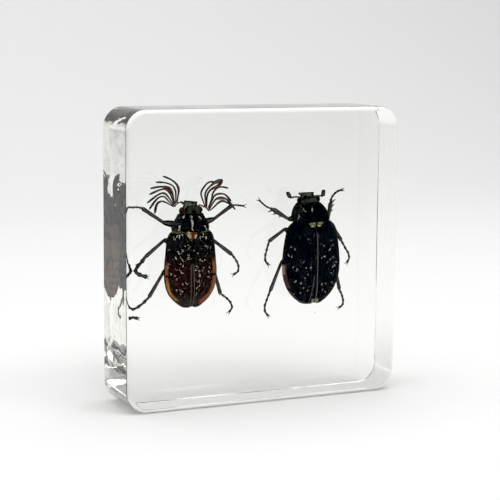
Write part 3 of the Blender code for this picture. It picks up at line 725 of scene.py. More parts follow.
# %% Parts of a leg, each modelled once along +Y
LIMB_HALF = (
    (0.0, 1.0), (0.3, 0.93), (0.62, 0.75), (0.9, 0.35), (1.0, 0.0), (0.9, -0.4), (0.55, -0.85), (0.0, -1.0),
)
KEELED_HALF = (
    (0.0, 0.8), (0.22, 0.86), (0.42, 1.0), (0.62, 0.86), (0.95, 0.45), (1.0, 0.0), (0.8, -0.5), (0.0, -0.85),
)
# Each part: its section, and its thickness at places along it, both as shares
PART_STATIONS = {
    "thigh": (LIMB_HALF, (
        (0.0, 0.75), (0.06, 0.98), (0.25, 1.12), (0.5, 1.12), (0.75, 0.95), (0.9, 0.76), (1.0, 0.5),
    )),
    "shin": (KEELED_HALF, (
        (0.0, 0.6), (0.05, 0.84), (0.12, 0.8), (0.35, 0.82), (0.58, 0.9), (0.62, 1.0), (0.66, 0.88),
        (0.85, 0.98), (0.95, 1.08), (1.0, 0.8),
    )),
    "digging_shin": (KEELED_HALF, (
        (0.0, 0.5), (0.06, 0.72), (0.2, 0.75), (0.45, 0.95), (0.7, 1.1), (0.9, 1.15), (1.0, 0.8),
    )),
    "spur": (LIMB_HALF, ((0.0, 1.0), (0.3, 0.85), (0.65, 0.5), (0.9, 0.2), (1.0, 0.06))),
    "foot_joint": (LIMB_HALF, ((0.0, 0.5), (0.1, 0.62), (0.5, 0.7), (0.8, 0.95), (0.93, 1.15), (1.0, 0.8))),
    "claw": (LIMB_HALF, ((0.0, 1.0), (0.2, 0.95), (0.45, 0.75), (0.7, 0.5), (0.9, 0.25), (1.0, 0.08))),
}
CLAW_CURL = 3.0

parts = {}
for name, (half, stations) in PART_STATIONS.items():
    curl = CLAW_CURL if name == "claw" else 0.0
    rows = [(ahead, 0, width, width, -curl * ahead ** 2) for ahead, width in stations]
    parts[name] = finish(loft(name, both_sides(half), rows, closed=True), levels=1)
    print(name, len(parts[name].data.polygons), "faces")


# %% Copy a part to its place
def lay(name, start, stop, radius, depth=1.0):
    """A copy of a part, stretched from one point to another and made as thick as asked."""
    start, stop = Vector(start), Vector(stop)
    piece = parts[name].copy()
    piece.data = parts[name].data.copy()
    bpy.context.scene.collection.objects.link(piece)
    along = stop - start
    sideways = along.cross(Vector((0, 0, 1))).normalized()
    up = sideways.cross(along).normalized()
    axes = Matrix((sideways * radius, along, up * radius * depth)).transposed().to_4x4()
    piece.data.transform(Matrix.Translation(start) @ axes)
    return piece


def join(pieces, name):
    select_only(*pieces)
    bpy.ops.object.join()
    pieces[0].name = name
    return pieces[0]


def turned(direction, degrees):
    return Matrix.Rotation(math.radians(degrees), 3, "Z") @ direction


# %% Legs
THIGH_RADIUS = 0.82
SHIN_RADIUS = 0.54
DIGGING_SHIN_RADIUS = 0.58
SPUR_LENGTH = 1.15
SPUR_RADIUS = 0.13
CLAW_LENGTH = 1.05
CLAW_RADIUS = 0.16
TOOTH_LENGTH = 1.6
TOOTH_RADIUS = 0.36
TOOTH_DEPTH_SHARE = 0.8
# The teeth of a digging shin: how far along it, and share of the full length
TEETH = ((0.42, 0.75), (0.7, 1.0), (0.95, 1.15))
# How far a tooth turns out from the shin, in degrees, and how much less that is at the shin's end
TOOTH_SPREAD = 72
TOOTH_LEAN = 25
# How far a thigh runs past the knee and a shin past both its ends
THIGH_OVERLAP = 0.25
SHIN_OVERLAP = 0.1
SHIN_DEPTH_SHARE = 0.85
# The two spurs at the end of a shin: which side, and how far they droop
SPUR_PAIR = ((-1, 0.14), (1, 0.26))
SPUR_PLACE = 0.95
SPUR_SPREAD = 24
# Single spines along a shin: how far along it, and which side
SPINES = ((0.35, 1), (0.6, -1), (0.6, 1), (0.8, -1))
SPINE_LENGTH = 0.8
SPINE_RADIUS = 0.07
SPINE_SPREAD = 32
FOOT_JOINTS = 5
FOOT_CURVE_STEPS = 6
FOOT_JOINT_OVERLAP = 0.06
# A bristle on each side of every foot joint
BRISTLE_LENGTH = 0.35
BRISTLE_RADIUS = 0.05
BRISTLE_SPREAD = 35
BRISTLE_ROOT = 0.15
CLAW_SPREAD = 30
CLAW_ROOT = 0.2
# Thickness of each foot, in the order of the names below
MALE["foot_radii"] = (0.3, 0.3, 0.62, 0.36, 0.46, 0.36)
FEMALE["foot_radii"] = (0.3, 0.38, 0.38, 0.38, 0.38, 0.38)
LEG_NAMES = ("fore_left", "fore_right", "mid_left", "mid_right", "hind_left", "hind_right")
# Each leg: hip, knee, ankle, and the points that the foot curls through
MALE["legs"] = (
    ((-2.0, 7.6, -2.1), (-6.9, 8.6, -1.2), (-12.6, 12.4, -0.5),
     ((-14.0, 12.8, -0.3), (-15.4, 12.7, -0.2), (-16.7, 12.5, 0.0))),
    ((2.0, 7.6, -2.1), (6.7, 8.9, -1.2), (11.4, 12.2, -0.5),
     ((12.6, 12.3, -0.3), (13.6, 12.1, -0.2), (14.6, 12.0, 0.0))),
    ((-2.6, 2.2, -2.6), (-6.4, 4.2, -1.8), (-11.8, 0.3, -0.6),
     ((-13.3, -1.5, -0.4), (-14.8, -2.6, -0.2), (-14.4, -3.6, 0.0),
      (-13.0, -4.3, 0.0), (-11.6, -4.7, 0.0))),
    ((2.6, 2.2, -2.6), (6.4, 3.7, -1.8), (11.5, -0.3, -0.6),
     ((12.8, -2.0, -0.4), (13.4, -3.7, -0.2), (13.0, -5.0, 0.0), (12.0, -5.4, 0.0))),
    ((-3.0, -1.6, -2.6), (-7.0, -4.4, -1.9), (-10.9, -9.9, -0.6),
     ((-13.3, -12.0, -0.4), (-15.3, -12.6, -0.2), (-16.4, -13.5, 0.0),
      (-15.7, -14.6, 0.0), (-14.0, -15.0, 0.0))),
    ((3.0, -1.6, -2.6), (7.1, -4.7, -1.9), (8.4, -10.2, -0.6),
     ((9.9, -11.3, -0.4), (11.1, -12.5, -0.2), (11.6, -14.0, 0.0), (10.8, -15.0, 0.0))),
)
FEMALE["legs"] = (
    ((-2.2, 8.2, -2.1), (-6.2, 8.0, -1.2), (-10.9, 10.8, -0.5),
     ((-12.7, 11.5, -0.3), (-14.0, 12.5, -0.2), (-14.8, 13.2, 0.0))),
    ((2.0, 8.2, -2.1), (5.3, 7.7, -1.2), (5.7, 11.9, -0.5),
     ((5.8, 12.9, -0.3), (6.5, 14.0, -0.2), (7.7, 14.9, 0.0), (8.9, 15.1, 0.0))),
    ((-2.8, 3.0, -2.6), (-7.0, 5.4, -1.9), (-11.8, 2.6, -0.6),
     ((-12.6, 0.2, -0.4), (-13.1, -1.7, -0.2), (-12.9, -2.9, 0.0), (-12.2, -3.4, 0.0))),
    ((2.8, 3.0, -2.6), (7.1, 5.2, -1.9), (9.0, 1.8, -0.6),
     ((10.2, -0.3, -0.4), (11.2, -1.9, -0.2), (11.3, -3.2, 0.0), (10.7, -4.1, 0.0))),
    ((-3.2, -1.4, -2.6), (-8.0, -3.4, -1.9), (-11.4, -10.4, -0.6),
     ((-12.5, -12.9, -0.4), (-13.1, -14.5, -0.2), (-12.9, -16.0, 0.0), (-12.1, -16.8, 0.0))),
    ((3.2, -1.4, -2.6), (7.8, -5.6, -1.9), (8.7, -11.2, -0.6),
     ((9.5, -13.0, -0.4), (9.8, -14.6, -0.2), (9.4, -15.7, 0.0), (8.6, -16.0, 0.0))),
)


def curve_through(points, steps):
    """Points along a smooth curve that passes through every given point."""
    points = [Vector(point) for point in points]
    ends = [2 * points[0] - points[1]] + points + [2 * points[-1] - points[-2]]
    path = [points[0]]
    for before, start, stop, after in zip(ends, ends[1:], ends[2:], ends[3:]):
        for step in range(1, steps + 1):
            t = step / steps
            path.append(0.5 * (
                2 * start + (stop - before) * t + (2 * before - 5 * start + 4 * stop - after) * t * t
                + (3 * start - before - 3 * stop + after) * t * t * t
            ))
    return path


def evenly(path, count):
    """Points at equal distances along a path."""
    lengths = [0.0]
    for start, stop in zip(path, path[1:]):
        lengths.append(lengths[-1] + (stop - start).length)
    points = []
    for index in range(count + 1):
        wanted = lengths[-1] * index / count
        after = next(i for i, length in enumerate(lengths) if length >= wanted - 1e-6)
        after = max(after, 1)
        share = (wanted - lengths[after - 1]) / (lengths[after] - lengths[after - 1])
        points.append(path[after - 1].lerp(path[after], share))
    return points


def shin_parts(knee, ankle, digging):
    """A shin with its teeth, spurs and spines."""
    along = (ankle - knee).normalized()
    start, stop = knee - along * SHIN_OVERLAP, ankle + along * SHIN_OVERLAP
    if digging:
        pieces = [lay("digging_shin", start, stop, DIGGING_SHIN_RADIUS, SHIN_DEPTH_SHARE)]
        outward = 1 if ankle.x < 0 else -1
        for place, length in TEETH:
            root = knee.lerp(ankle, place)
            spread = outward * (TOOTH_SPREAD - TOOTH_LEAN * place)
            tooth = turned(along, spread) * TOOTH_LENGTH * length
            pieces.append(lay("spur", root, root + tooth, TOOTH_RADIUS, TOOTH_DEPTH_SHARE))
    else:
        pieces = [lay("shin", start, stop, SHIN_RADIUS, SHIN_DEPTH_SHARE)]
    root = knee.lerp(ankle, SPUR_PLACE)
    for side, droop in SPUR_PAIR:
        spur = (turned(along, side * SPUR_SPREAD) - Vector((0, 0, droop))) * SPUR_LENGTH
        pieces.append(lay("spur", root, root + spur, SPUR_RADIUS))
    for place, side in SPINES:
        root = knee.lerp(ankle, place)
        spine = turned(along, side * SPINE_SPREAD) * SPINE_LENGTH
        pieces.append(lay("spur", root, root + spine, SPINE_RADIUS))
    return pieces


def foot_parts(ankle, foot_points, radius):
    """A foot of five joints with a bristle on each side of every one, and two claws."""
    pieces = []
    joints = evenly(curve_through([ankle] + list(foot_points), FOOT_CURVE_STEPS), FOOT_JOINTS)
    for start, stop in zip(joints, joints[1:]):
        pieces.append(lay("foot_joint", start - (stop - start) * FOOT_JOINT_OVERLAP, stop, radius))
        ahead = (stop - start).normalized()
        for side in (-1, 1):
            bristle = turned(ahead, side * BRISTLE_SPREAD) * BRISTLE_LENGTH
            pieces.append(lay("spur", stop - ahead * BRISTLE_ROOT, stop + bristle, BRISTLE_RADIUS))
    tip = joints[-1]
    for side in (-1, 1):
        claw = turned(ahead, side * CLAW_SPREAD) * CLAW_LENGTH
        pieces.append(lay("claw", tip - ahead * CLAW_ROOT, tip + claw, CLAW_RADIUS))
    return pieces


def leg(hip, knee, ankle, foot_points, foot_radius, digging, name):
    hip, knee, ankle = Vector(hip), Vector(knee), Vector(ankle)
    pieces = [lay("thigh", hip, knee + (knee - hip).normalized() * THIGH_OVERLAP, THIGH_RADIUS)]
    pieces += shin_parts(knee, ankle, digging) + foot_parts(ankle, foot_points, foot_radius)
    return join(pieces, "leg_" + name)


for beetle in (MALE, FEMALE):
    beetle["leg_pieces"] = [
        leg(*points, radius, beetle is FEMALE and name.startswith("fore"), name)
        for name, points, radius in zip(LEG_NAMES, beetle["legs"], beetle["foot_radii"])
    ]
    print(beetle["name"], "legs:", sum(len(piece.data.polygons) for piece in beetle["leg_pieces"]), "faces")

# %% [markdown]
# ## Antennae
#
# The male's are his glory: a short jointed stem and a club of seven long leaves, opened like a hand. Each
# leaf is a blade that stands on edge and curls outwards. It is a closed loop of edges, extruded from point
# to point along the leaf and turned a little each time. Where a leaf lies over and shows its flat side, its
# loop is widened. The female's club stays small and shut.

# %% Leaves and stems
MALE["stems"] = (
    ((-1.2, 12.4, 0.4), (-1.9, 13.5, 0.6), (-2.8, 13.7, 0.7), (-3.7, 13.4, 0.8), (-4.5, 12.6, 0.8)),
    ((1.0, 12.0, 0.4), (1.6, 12.4, 0.6), (2.4, 12.8, 0.7), (3.8, 12.2, 0.8), (4.9, 11.2, 0.8)),
)
# Each leaf of the left and of the right fan: points from its root to its tip, (across, ahead)
MALE["leaves"] = (
    (
        ((-3.7, 13.4), (-3.4, 15.2), (-3.2, 16.7), (-3.7, 18.1), (-5.3, 19.4), (-7.5, 20.3)),
        ((-4.0, 13.3), (-4.0, 15.2), (-4.1, 16.5), (-4.9, 17.9), (-7.1, 18.7), (-9.4, 18.8)),
        ((-4.2, 13.1), (-4.7, 14.9), (-5.0, 16.1), (-6.0, 17.4), (-8.3, 17.7), (-10.9, 17.3)),
        ((-4.4, 13.0), (-5.2, 15.0), (-5.8, 16.3), (-6.9, 17.1), (-8.7, 16.8), (-11.2, 15.8)),
        ((-4.5, 12.9), (-5.9, 14.8), (-6.7, 15.8), (-7.8, 16.1), (-9.4, 15.4), (-11.8, 13.7)),
        ((-4.6, 12.7), (-6.1, 14.1), (-6.9, 15.0), (-7.9, 15.3), (-9.3, 14.6), (-11.3, 12.1)),
        ((-4.6, 12.5), (-6.1, 13.4), (-7.1, 13.9), (-8.2, 14.1), (-9.3, 13.3), (-9.8, 11.0)),
    ),
    (
        ((3.9, 12.2), (3.1, 14.3), (2.8, 15.8), (3.6, 17.2), (5.0, 18.4), (6.9, 18.3)),
        ((4.1, 12.1), (3.9, 14.3), (4.0, 15.9), (5.1, 17.2), (6.7, 18.3), (8.8, 18.8)),
        ((4.3, 11.9), (4.3, 14.3), (4.7, 15.8), (5.9, 16.8), (7.3, 17.3), (8.6, 18.6)),
        ((4.5, 11.7), (5.6, 14.2), (5.8, 15.4), (6.8, 16.7), (8.2, 17.1), (10.2, 16.7)),
        ((4.7, 11.5), (5.9, 14.3), (6.7, 15.2), (8.1, 15.4), (9.4, 15.0), (10.9, 13.3)),
        ((4.8, 11.4), (6.1, 13.5), (7.0, 14.2), (8.4, 14.3), (9.9, 13.7), (12.0, 11.1)),
        ((4.9, 11.2), (6.2, 12.2), (7.2, 13.1), (8.4, 13.6), (9.7, 13.1), (11.3, 12.2)),
    ),
)
# Where a leaf lies over and shows its flat side: (fan, leaf): (share of its length, extra half width)
FLAT_PLACES = {
    (0, 0): (0.5, 0.12), (0, 2): (0.55, 0.2), (0, 3): (0.5, 0.14), (0, 4): (0.5, 0.08), (0, 6): (0.75, 0.1),
    (1, 1): (0.85, 0.24), (1, 2): (0.75, 0.22), (1, 5): (0.55, 0.2), (1, 6): (0.6, 0.12), (1, 4): (0.5, 0.06),
}
FLAT_REACH = 0.16
STEM_RADII = (0.3, 0.26)
LEAF_SECTION = ((0.0, 1.0), (0.55, 0.85), (1.0, 0.35), (1.0, -0.35), (0.55, -0.85), (0.0, -1.0))
LEAF_LEVEL = 0.8
LEAF_SPREAD = 0.1
LEAF_HALF_WIDTH = 0.2
LEAF_HALF_DEPTH = 0.62
LEAF_STEPS = 3
# How wide and how deep a leaf is at places along it, as shares
LEAF_SHAPE = ((0.0, 0.55), (0.08, 0.8), (0.4, 1.1), (0.75, 1.0), (0.86, 1.25), (0.96, 1.4), (1.0, 0.75))


def leaf(points, flat_place, middle_level, rise):
    """A loop of edges, carried along the leaf and turned to its heading at every point."""
    path = curve_through([(*point, middle_level) for point in points], LEAF_STEPS)
    last = len(path) - 1
    headings = []
    for step in range(last + 1):
        run = path[min(step + 1, last)] - path[max(step - 1, 0)]
        headings.append(math.atan2(run.y, run.x) - math.pi / 2)
    flat_share, extra = flat_place
    widths = []
    for step in range(last + 1):
        share = step / last
        flat = extra * math.exp(-((share - flat_share) / FLAT_REACH) ** 2)
        widths.append((LEAF_HALF_WIDTH + flat) * between(LEAF_SHAPE, share, 1))
    depths = [LEAF_HALF_DEPTH * between(LEAF_SHAPE, step / last, 1) for step in range(last + 1)]
    loop = [(x * widths[0], 0, z * depths[0]) for x, z in both_sides(LEAF_SECTION)]
    piece = draw_line("leaf", loop, closed=True)
    bpy.ops.transform.rotate(value=-headings[0], orient_axis="Z", center_override=(0, 0, 0))
    bpy.ops.transform.translate(value=path[0])
    for step in range(1, last + 1):
        move = path[step] - path[step - 1] + Vector((0, 0, rise / last))
        here = path[step] + Vector((0, 0, rise * step / last))
        bpy.ops.mesh.extrude_edges_move(TRANSFORM_OT_translate={"value": move})
        turn = headings[step] - headings[step - 1]
        turn = (turn + math.pi) % (2 * math.pi) - math.pi
        bpy.ops.transform.rotate(value=-turn, orient_axis="Z", center_override=here)
        wider = widths[step] / widths[step - 1]
        bpy.ops.transform.resize(value=(wider, wider, depths[step] / depths[step - 1]), center_override=here)
    close_ends()
    bpy.ops.mesh.select_all(action="SELECT")
    bpy.ops.mesh.normals_make_consistent(inside=False)
    bpy.ops.object.mode_set(mode="OBJECT")
    finish(piece, levels=1)
    along = piece.data.attributes.new("along", "FLOAT", "POINT")
    for vertex, value in zip(piece.data.vertices, along.data):
        nearest = min(range(last + 1), key=lambda i: (path[i].xy - vertex.co.xy).length)
        value.value = nearest / last
    return piece


def antenna(stem, leaves, flat_places, name):
    pieces = []
    for start, stop in zip(stem, stem[1:]):
        pieces.append(lay("foot_joint", start, stop, STEM_RADII[1] if pieces else STEM_RADII[0]))
    for index, points in enumerate(leaves):
        rise = LEAF_SPREAD * (index - len(leaves) // 2)
        pieces.append(leaf(points, flat_places.get(index, (0.5, 0.0)), LEAF_LEVEL + rise, rise))
    return join(pieces, name)


fans = []
for fan_index, side in enumerate(("left", "right")):
    flats = {index: value for (fan, index), value in FLAT_PLACES.items() if fan == fan_index}
    fans.append(antenna(MALE["stems"][fan_index], MALE["leaves"][fan_index], flats, "antenna_" + side))
MALE["antennae"] = fans
print("fans:", sum(len(piece.data.polygons) for piece in fans), "faces")

# %% The female's antennae, and the mouth feelers of both
FEMALE["stems"] = (
    ((-3.2, 13.4, 0.2), (-4.0, 13.75, 0.3), (-4.8, 13.8, 0.4), (-5.6, 13.7, 0.45), (-6.3, 13.6, 0.5)),
    ((0.2, 13.5, 0.2), (0.9, 13.8, 0.3), (1.6, 13.9, 0.4), (2.4, 13.8, 0.45), (3.1, 13.7, 0.5)),
)
FEMALE["clubs"] = (
    ((-6.3, 13.6, 0.5), (-7.1, 15.2, 0.5)),
    ((3.1, 13.7, 0.5), (3.3, 15.4, 0.5)),
)
# The club is three plates side by side, shut on each other
CLUB_PLATES = (-0.26, 0.0, 0.26)
CLUB_PLATE_RADIUS = 0.3
CLUB_DEPTH_SHARE = 1.5
SHORT_STEM_RADIUS = 0.28
FEELER_RADIUS = 0.3
MALE["feelers"] = (((-1.5, 12.8, -0.4), (-2.3, 13.6, -0.2)), ((0.9, 12.7, -0.4), (1.5, 13.5, -0.2)))
FEMALE["feelers"] = (((-2.7, 14.0, -0.4), (-3.6, 14.7, -0.2)), ((-0.2, 13.9, -0.4), (0.5, 14.6, -0.2)))

shut = []
for stem, (root, tip), side in zip(FEMALE["stems"], FEMALE["clubs"], ("left", "right")):
    pieces = [lay("foot_joint", start, stop, SHORT_STEM_RADIUS) for start, stop in zip(stem, stem[1:])]
    for offset in CLUB_PLATES:
        start, stop = (Vector(end) + Vector((offset, 0, 0)) for end in (root, tip))
        pieces.append(lay("thigh", start, stop, CLUB_PLATE_RADIUS, CLUB_DEPTH_SHARE))
    shut.append(join(pieces, "antenna_" + side))
FEMALE["antennae"] = shut
for beetle in (MALE, FEMALE):
    pieces = [lay("foot_joint", root, tip, FEELER_RADIUS) for root, tip in beetle["feelers"]]
    beetle["mouth_feelers"] = join(pieces, "mouth_feelers")
    print(beetle["name"], "antennae and feelers in place")

# %% [markdown]
# ## Scales
#
# The white and cream marks are taken for tiny scales that lie on the shell in uneven tufts, thicker on the
# shoulders and the shield, and in stripes on the plate behind the head. One scale is modelled, copied to
# every place with a chance turn and size from a seeded draw, laid on the shell by a ray from above, and all
# the scales of a beetle are joined. Tufts and stripes are placed where the photograph has flecks.
# Where each single scale lies, and the loose ones between the tufts, is chance.
#
# A dark speck floats in the resin below the female's tail. What it is can't be seen, so it is built as a
# bit of a claw that broke off.

# %% One scale, and tufts of them laid on the shell
SCALE_LENGTH = 0.25
SCALE_WIDTH = 0.1
SCALE_THICKNESS = 0.04
SCALE_LIFT = 0.02
# How much the shell has to face upwards to hold a scale, where level shell is 1
LEAST_LEVEL = 0.25
RAY_START = 20
TUFT_SPREAD = 0.07
TUFT_STREAK = 0.15
# How much the scales turn, in radians, and their sizes as shares of the modelled one
TUFT_LIE = 1.4
TUFT_TURN = 0.4
TUFT_SIZES = (0.5, 1.1)
STRIPE_TURN = 0.35
STRIPE_SIZES = (0.6, 1.0)
LOOSE_TURN = 0.8
LOOSE_SIZES = (0.35, 0.65)
LOOSE_REACH = 0.85
LOOSE_SCALES = 120
BROKEN_BIT = ((1.2, -16.75, 0.4), (1.4, -17.05, 0.5))
BROKEN_BIT_RADIUS = 0.11
# Tufts read from the photograph, in millimetres: across, ahead, how thick (1 to 4)
MALE["tufts"] = (
    (-5.1, 4.8, 2), (-3.7, 5.5, 3), (-4.4, 5.3, 2), (-3.1, 5.7, 2), (-5.0, 4.3, 2), (-3.8, 5.0, 2),
    (2.6, 5.5, 3), (2.2, 4.9, 2), (3.4, 4.5, 3), (1.7, 4.7, 2), (3.1, 4.8, 2), (-1.5, 3.0, 1),
    (-2.2, 2.7, 1), (-0.8, 2.5, 1), (-1.3, 2.1, 1), (-3.1, 1.9, 2), (-4.3, 1.5, 2), (-3.7, 1.0, 3),
    (-2.9, 1.5, 1), (-4.8, 0.0, 2), (-4.7, -0.5, 2), (-3.4, -0.2, 2), (-2.9, -0.9, 2), (-3.8, -1.6, 1),
    (-3.1, -2.2, 3), (-1.6, 0.6, 1), (-1.6, 0.0, 1), (-1.6, -0.4, 1), (-6.2, -1.7, 1), (-6.2, 1.8, 1),
    (-6.5, -2.7, 1), (-4.6, -3.1, 1), (-3.7, -3.3, 1), (-3.1, -3.9, 3), (-5.9, -4.1, 2), (-5.0, -4.7, 1),
    (-4.5, -5.5, 2), (-3.0, -6.8, 2), (-1.9, -6.7, 2), (-4.4, -8.4, 2), (-3.6, -8.1, 2), (-3.0, -8.6, 3),
    (-3.5, -9.3, 1), (3.4, 2.6, 2), (3.8, 2.1, 1), (4.7, 2.0, 1), (0.1, 1.6, 2), (0.9, 0.9, 1),
    (-0.5, -0.4, 1), (1.6, -0.8, 2), (2.8, -1.0, 2), (2.1, -1.3, 1), (0.8, -2.4, 2), (0.4, -3.4, 2),
    (1.3, -3.6, 1), (2.3, -3.5, 1), (2.4, -2.8, 1), (4.3, -2.9, 2), (4.1, -3.9, 2), (1.6, -4.6, 3),
    (1.5, -5.0, 3), (4.1, -5.4, 2), (1.4, -6.2, 3), (0.7, -6.2, 1), (1.5, -7.2, 2), (0.9, -7.9, 1),
    (0.8, -9.6, 1), (-0.3, -3.3, 1),
)
FEMALE["tufts"] = (
    (-6.4, 0.9, 2), (-5.5, 0.3, 2), (-2.1, 2.9, 1), (-7.1, -1.2, 3), (-6.4, -1.6, 2), (-6.1, -4.3, 1),
    (-5.0, -4.8, 3), (-3.3, -2.9, 1), (-2.7, -4.5, 1), (-1.4, -4.7, 3), (-2.1, -6.4, 1), (-2.7, -7.2, 1),
    (-5.3, -8.0, 3), (-4.1, -8.8, 2), (-3.2, -9.8, 1), (-2.0, -10.5, 2), (-5.4, -11.6, 1), (-3.5, -11.2, 1),
    (2.5, 1.0, 2), (4.3, -0.1, 3), (5.2, 1.0, 1), (2.7, -1.8, 4), (1.8, -2.2, 1), (4.4, -2.6, 2),
    (5.3, -2.2, 2), (3.4, -3.4, 1), (6.5, -3.6, 2), (5.8, -4.6, 3), (5.3, -4.7, 2), (4.8, -6.3, 1),
    (2.0, -9.2, 3), (3.1, -9.0, 1), (5.0, -8.8, 2), (3.4, -11.1, 2), (1.2, -13.1, 1), (5.5, -6.0, 1),
    (4.5, 2.3, 1), (2.4, -10.5, 1),
)
# Stripes and patches: from and to (across, ahead), half width, number of scales
MALE["stripes"] = (
    ((-0.45, 10.2), (-0.35, 8.2), 0.26, 46), ((-0.35, 8.2), (-0.4, 6.6), 0.16, 26),
    ((-3.55, 7.9), (-3.75, 6.5), 0.2, 26), ((-2.75, 9.6), (-2.0, 10.3), 0.18, 16),
    ((3.0, 7.7), (3.75, 6.4), 0.2, 26), ((2.2, 9.3), (1.6, 10.0), 0.18, 14),
    ((-1.5, 5.7), (-0.85, 4.75), 0.34, 54), ((0.75, 5.5), (0.15, 4.6), 0.32, 50),
    ((-1.6, 6.1), (-1.0, 6.1), 0.12, 10),
)
FEMALE["stripes"] = (
    ((-0.9, 10.9), (-0.85, 9.9), 0.16, 22), ((-4.3, 9.3), (-4.5, 7.9), 0.18, 14),
    ((-3.3, 10.6), (-2.7, 10.0), 0.1, 7),
    ((-0.75, 6.3), (-0.75, 5.95), 0.38, 40), ((1.2, 6.35), (1.15, 6.0), 0.38, 40),
    ((-1.6, 6.75), (-0.2, 6.9), 0.15, 10), ((0.7, 6.9), (2.0, 6.8), 0.15, 10),
)


def add_scale_pattern():
    """A pointed oval, thicker down its middle: two rings extruded from an edge, pinched to its ends."""
    rows = [(0.0, 0, 0.1, 0.2, 0), (0.35, 0, 1.0, 1.0, 0), (0.7, 0, 0.8, 0.8, 0), (1.0, 0, 0.1, 0.2, 0)]
    return loft("scale", ((0.0, 1.0), (1.0, 0.0), (0.0, -0.5), (-1.0, 0.0)), rows, closed=True)


def shell_surface(beetle):
    """The upper shells of a beetle as one searchable surface."""
    vertices, faces = [], []
    for piece in beetle["wing_cases"] + [beetle["pronotum"], beetle["shield_piece"]]:
        first = len(vertices)
        vertices += [vertex.co.copy() for vertex in piece.data.vertices]
        faces += [[first + index for index in face.vertices] for face in piece.data.polygons]
    return BVHTree.FromPolygons(vertices, faces)


def lay_scale(surface, across, ahead, turn, size):
    """A copy of the scale, flat on the shell under a place; None where there is no shell."""
    where, normal, _, _ = surface.ray_cast(Vector((across, ahead, RAY_START)), Vector((0, 0, -1)))
    if where is None or normal.z < LEAST_LEVEL:
        return None
    ahead_on_shell = Vector((math.sin(turn), math.cos(turn), 0))
    along = (ahead_on_shell - normal * ahead_on_shell.dot(normal)).normalized()
    sideways = along.cross(normal)
    sides = (sideways * SCALE_WIDTH * size, along * SCALE_LENGTH * size, normal * SCALE_THICKNESS)
    axes = Matrix(sides).transposed().to_4x4()
    piece = scale_pattern.copy()
    piece.data = scale_pattern.data.copy()
    bpy.context.scene.collection.objects.link(piece)
    piece.data.transform(Matrix.Translation(where + normal * SCALE_LIFT) @ axes)
    return piece


def scales(beetle, draw):
    surface = shell_surface(beetle)
    laid = []
    for across, ahead, thickness in beetle["tufts"]:
        lie = draw.uniform(-TUFT_LIE, TUFT_LIE)
        for _ in range(1 + 2 * thickness):
            along = draw.gauss(0, TUFT_STREAK)
            place = (
                across + along * math.sin(lie) + draw.gauss(0, TUFT_SPREAD),
                ahead + along * math.cos(lie) + draw.gauss(0, TUFT_SPREAD),
            )
            laid.append(lay_scale(surface, *place, lie + draw.gauss(0, TUFT_TURN), draw.uniform(*TUFT_SIZES)))
    for start, stop, half_width, count in beetle["stripes"]:
        start, stop = Vector(start), Vector(stop)
        sideways = (stop - start).normalized().orthogonal()
        for _ in range(count):
            place = start.lerp(stop, draw.random()) + sideways * draw.uniform(-half_width, half_width)
            laid.append(lay_scale(surface, *place, draw.gauss(0, STRIPE_TURN), draw.uniform(*STRIPE_SIZES)))
    rows = beetle["wing_stations"]
    for _ in range(LOOSE_SCALES):
        ahead = draw.uniform(rows[2][0], rows[-4][0])
        across = draw.uniform(-LOOSE_REACH, LOOSE_REACH) * between(rows, ahead, 1)
        turn = draw.gauss(0, LOOSE_TURN)
        laid.append(lay_scale(surface, across, ahead, turn, draw.uniform(*LOOSE_SIZES)))
    return join([piece for piece in laid if piece], "scales")


FEMALE["broken_bit"] = lay("claw", *BROKEN_BIT, BROKEN_BIT_RADIUS)
FEMALE["broken_bit"].name = "broken_bit"
scale_pattern = add_scale_pattern()
for beetle, seed in ((MALE, 7), (FEMALE, 8)):
    beetle["scales"] = scales(beetle, random.Random(seed))
    print(beetle["name"], "scales:", len(beetle["scales"].data.polygons), "faces")

# %% [markdown]
# ## Finishes of the beetles
#
# A beetle's shell is chitin: a hard, dark, slightly see-through plate, pitted like orange peel. In air it
# shines, but the resin wets it and has almost the same refraction, so the shine is gone and only the colour
# and the pits are left. That is why every finish here has a specular level close to nothing. The trace of
# shine that is left is painted into the colour instead, as a painted highlight: lighter grey where legs,
# feelers, the female's antennae and the mouth plates face the front, and bright amber flecks on the male's
# wing-case margins. The colours are laid on as a painter glazes, one thin layer over the other, each with
# its own mask: how high it is, how far from the margin or the seam, which way the surface faces, or where a
# noise is strong.

# %% Layers of colour, each with its masks
WET_SPECULAR = 0.02
MOTTLE_PER_MM = 0.55
SPECKLE_PER_MM = 2.6
PIT_STRENGTH = 0.8
DISTANCES = ("from_margin", "from_seam", "from_gape", "from_joint", "along")


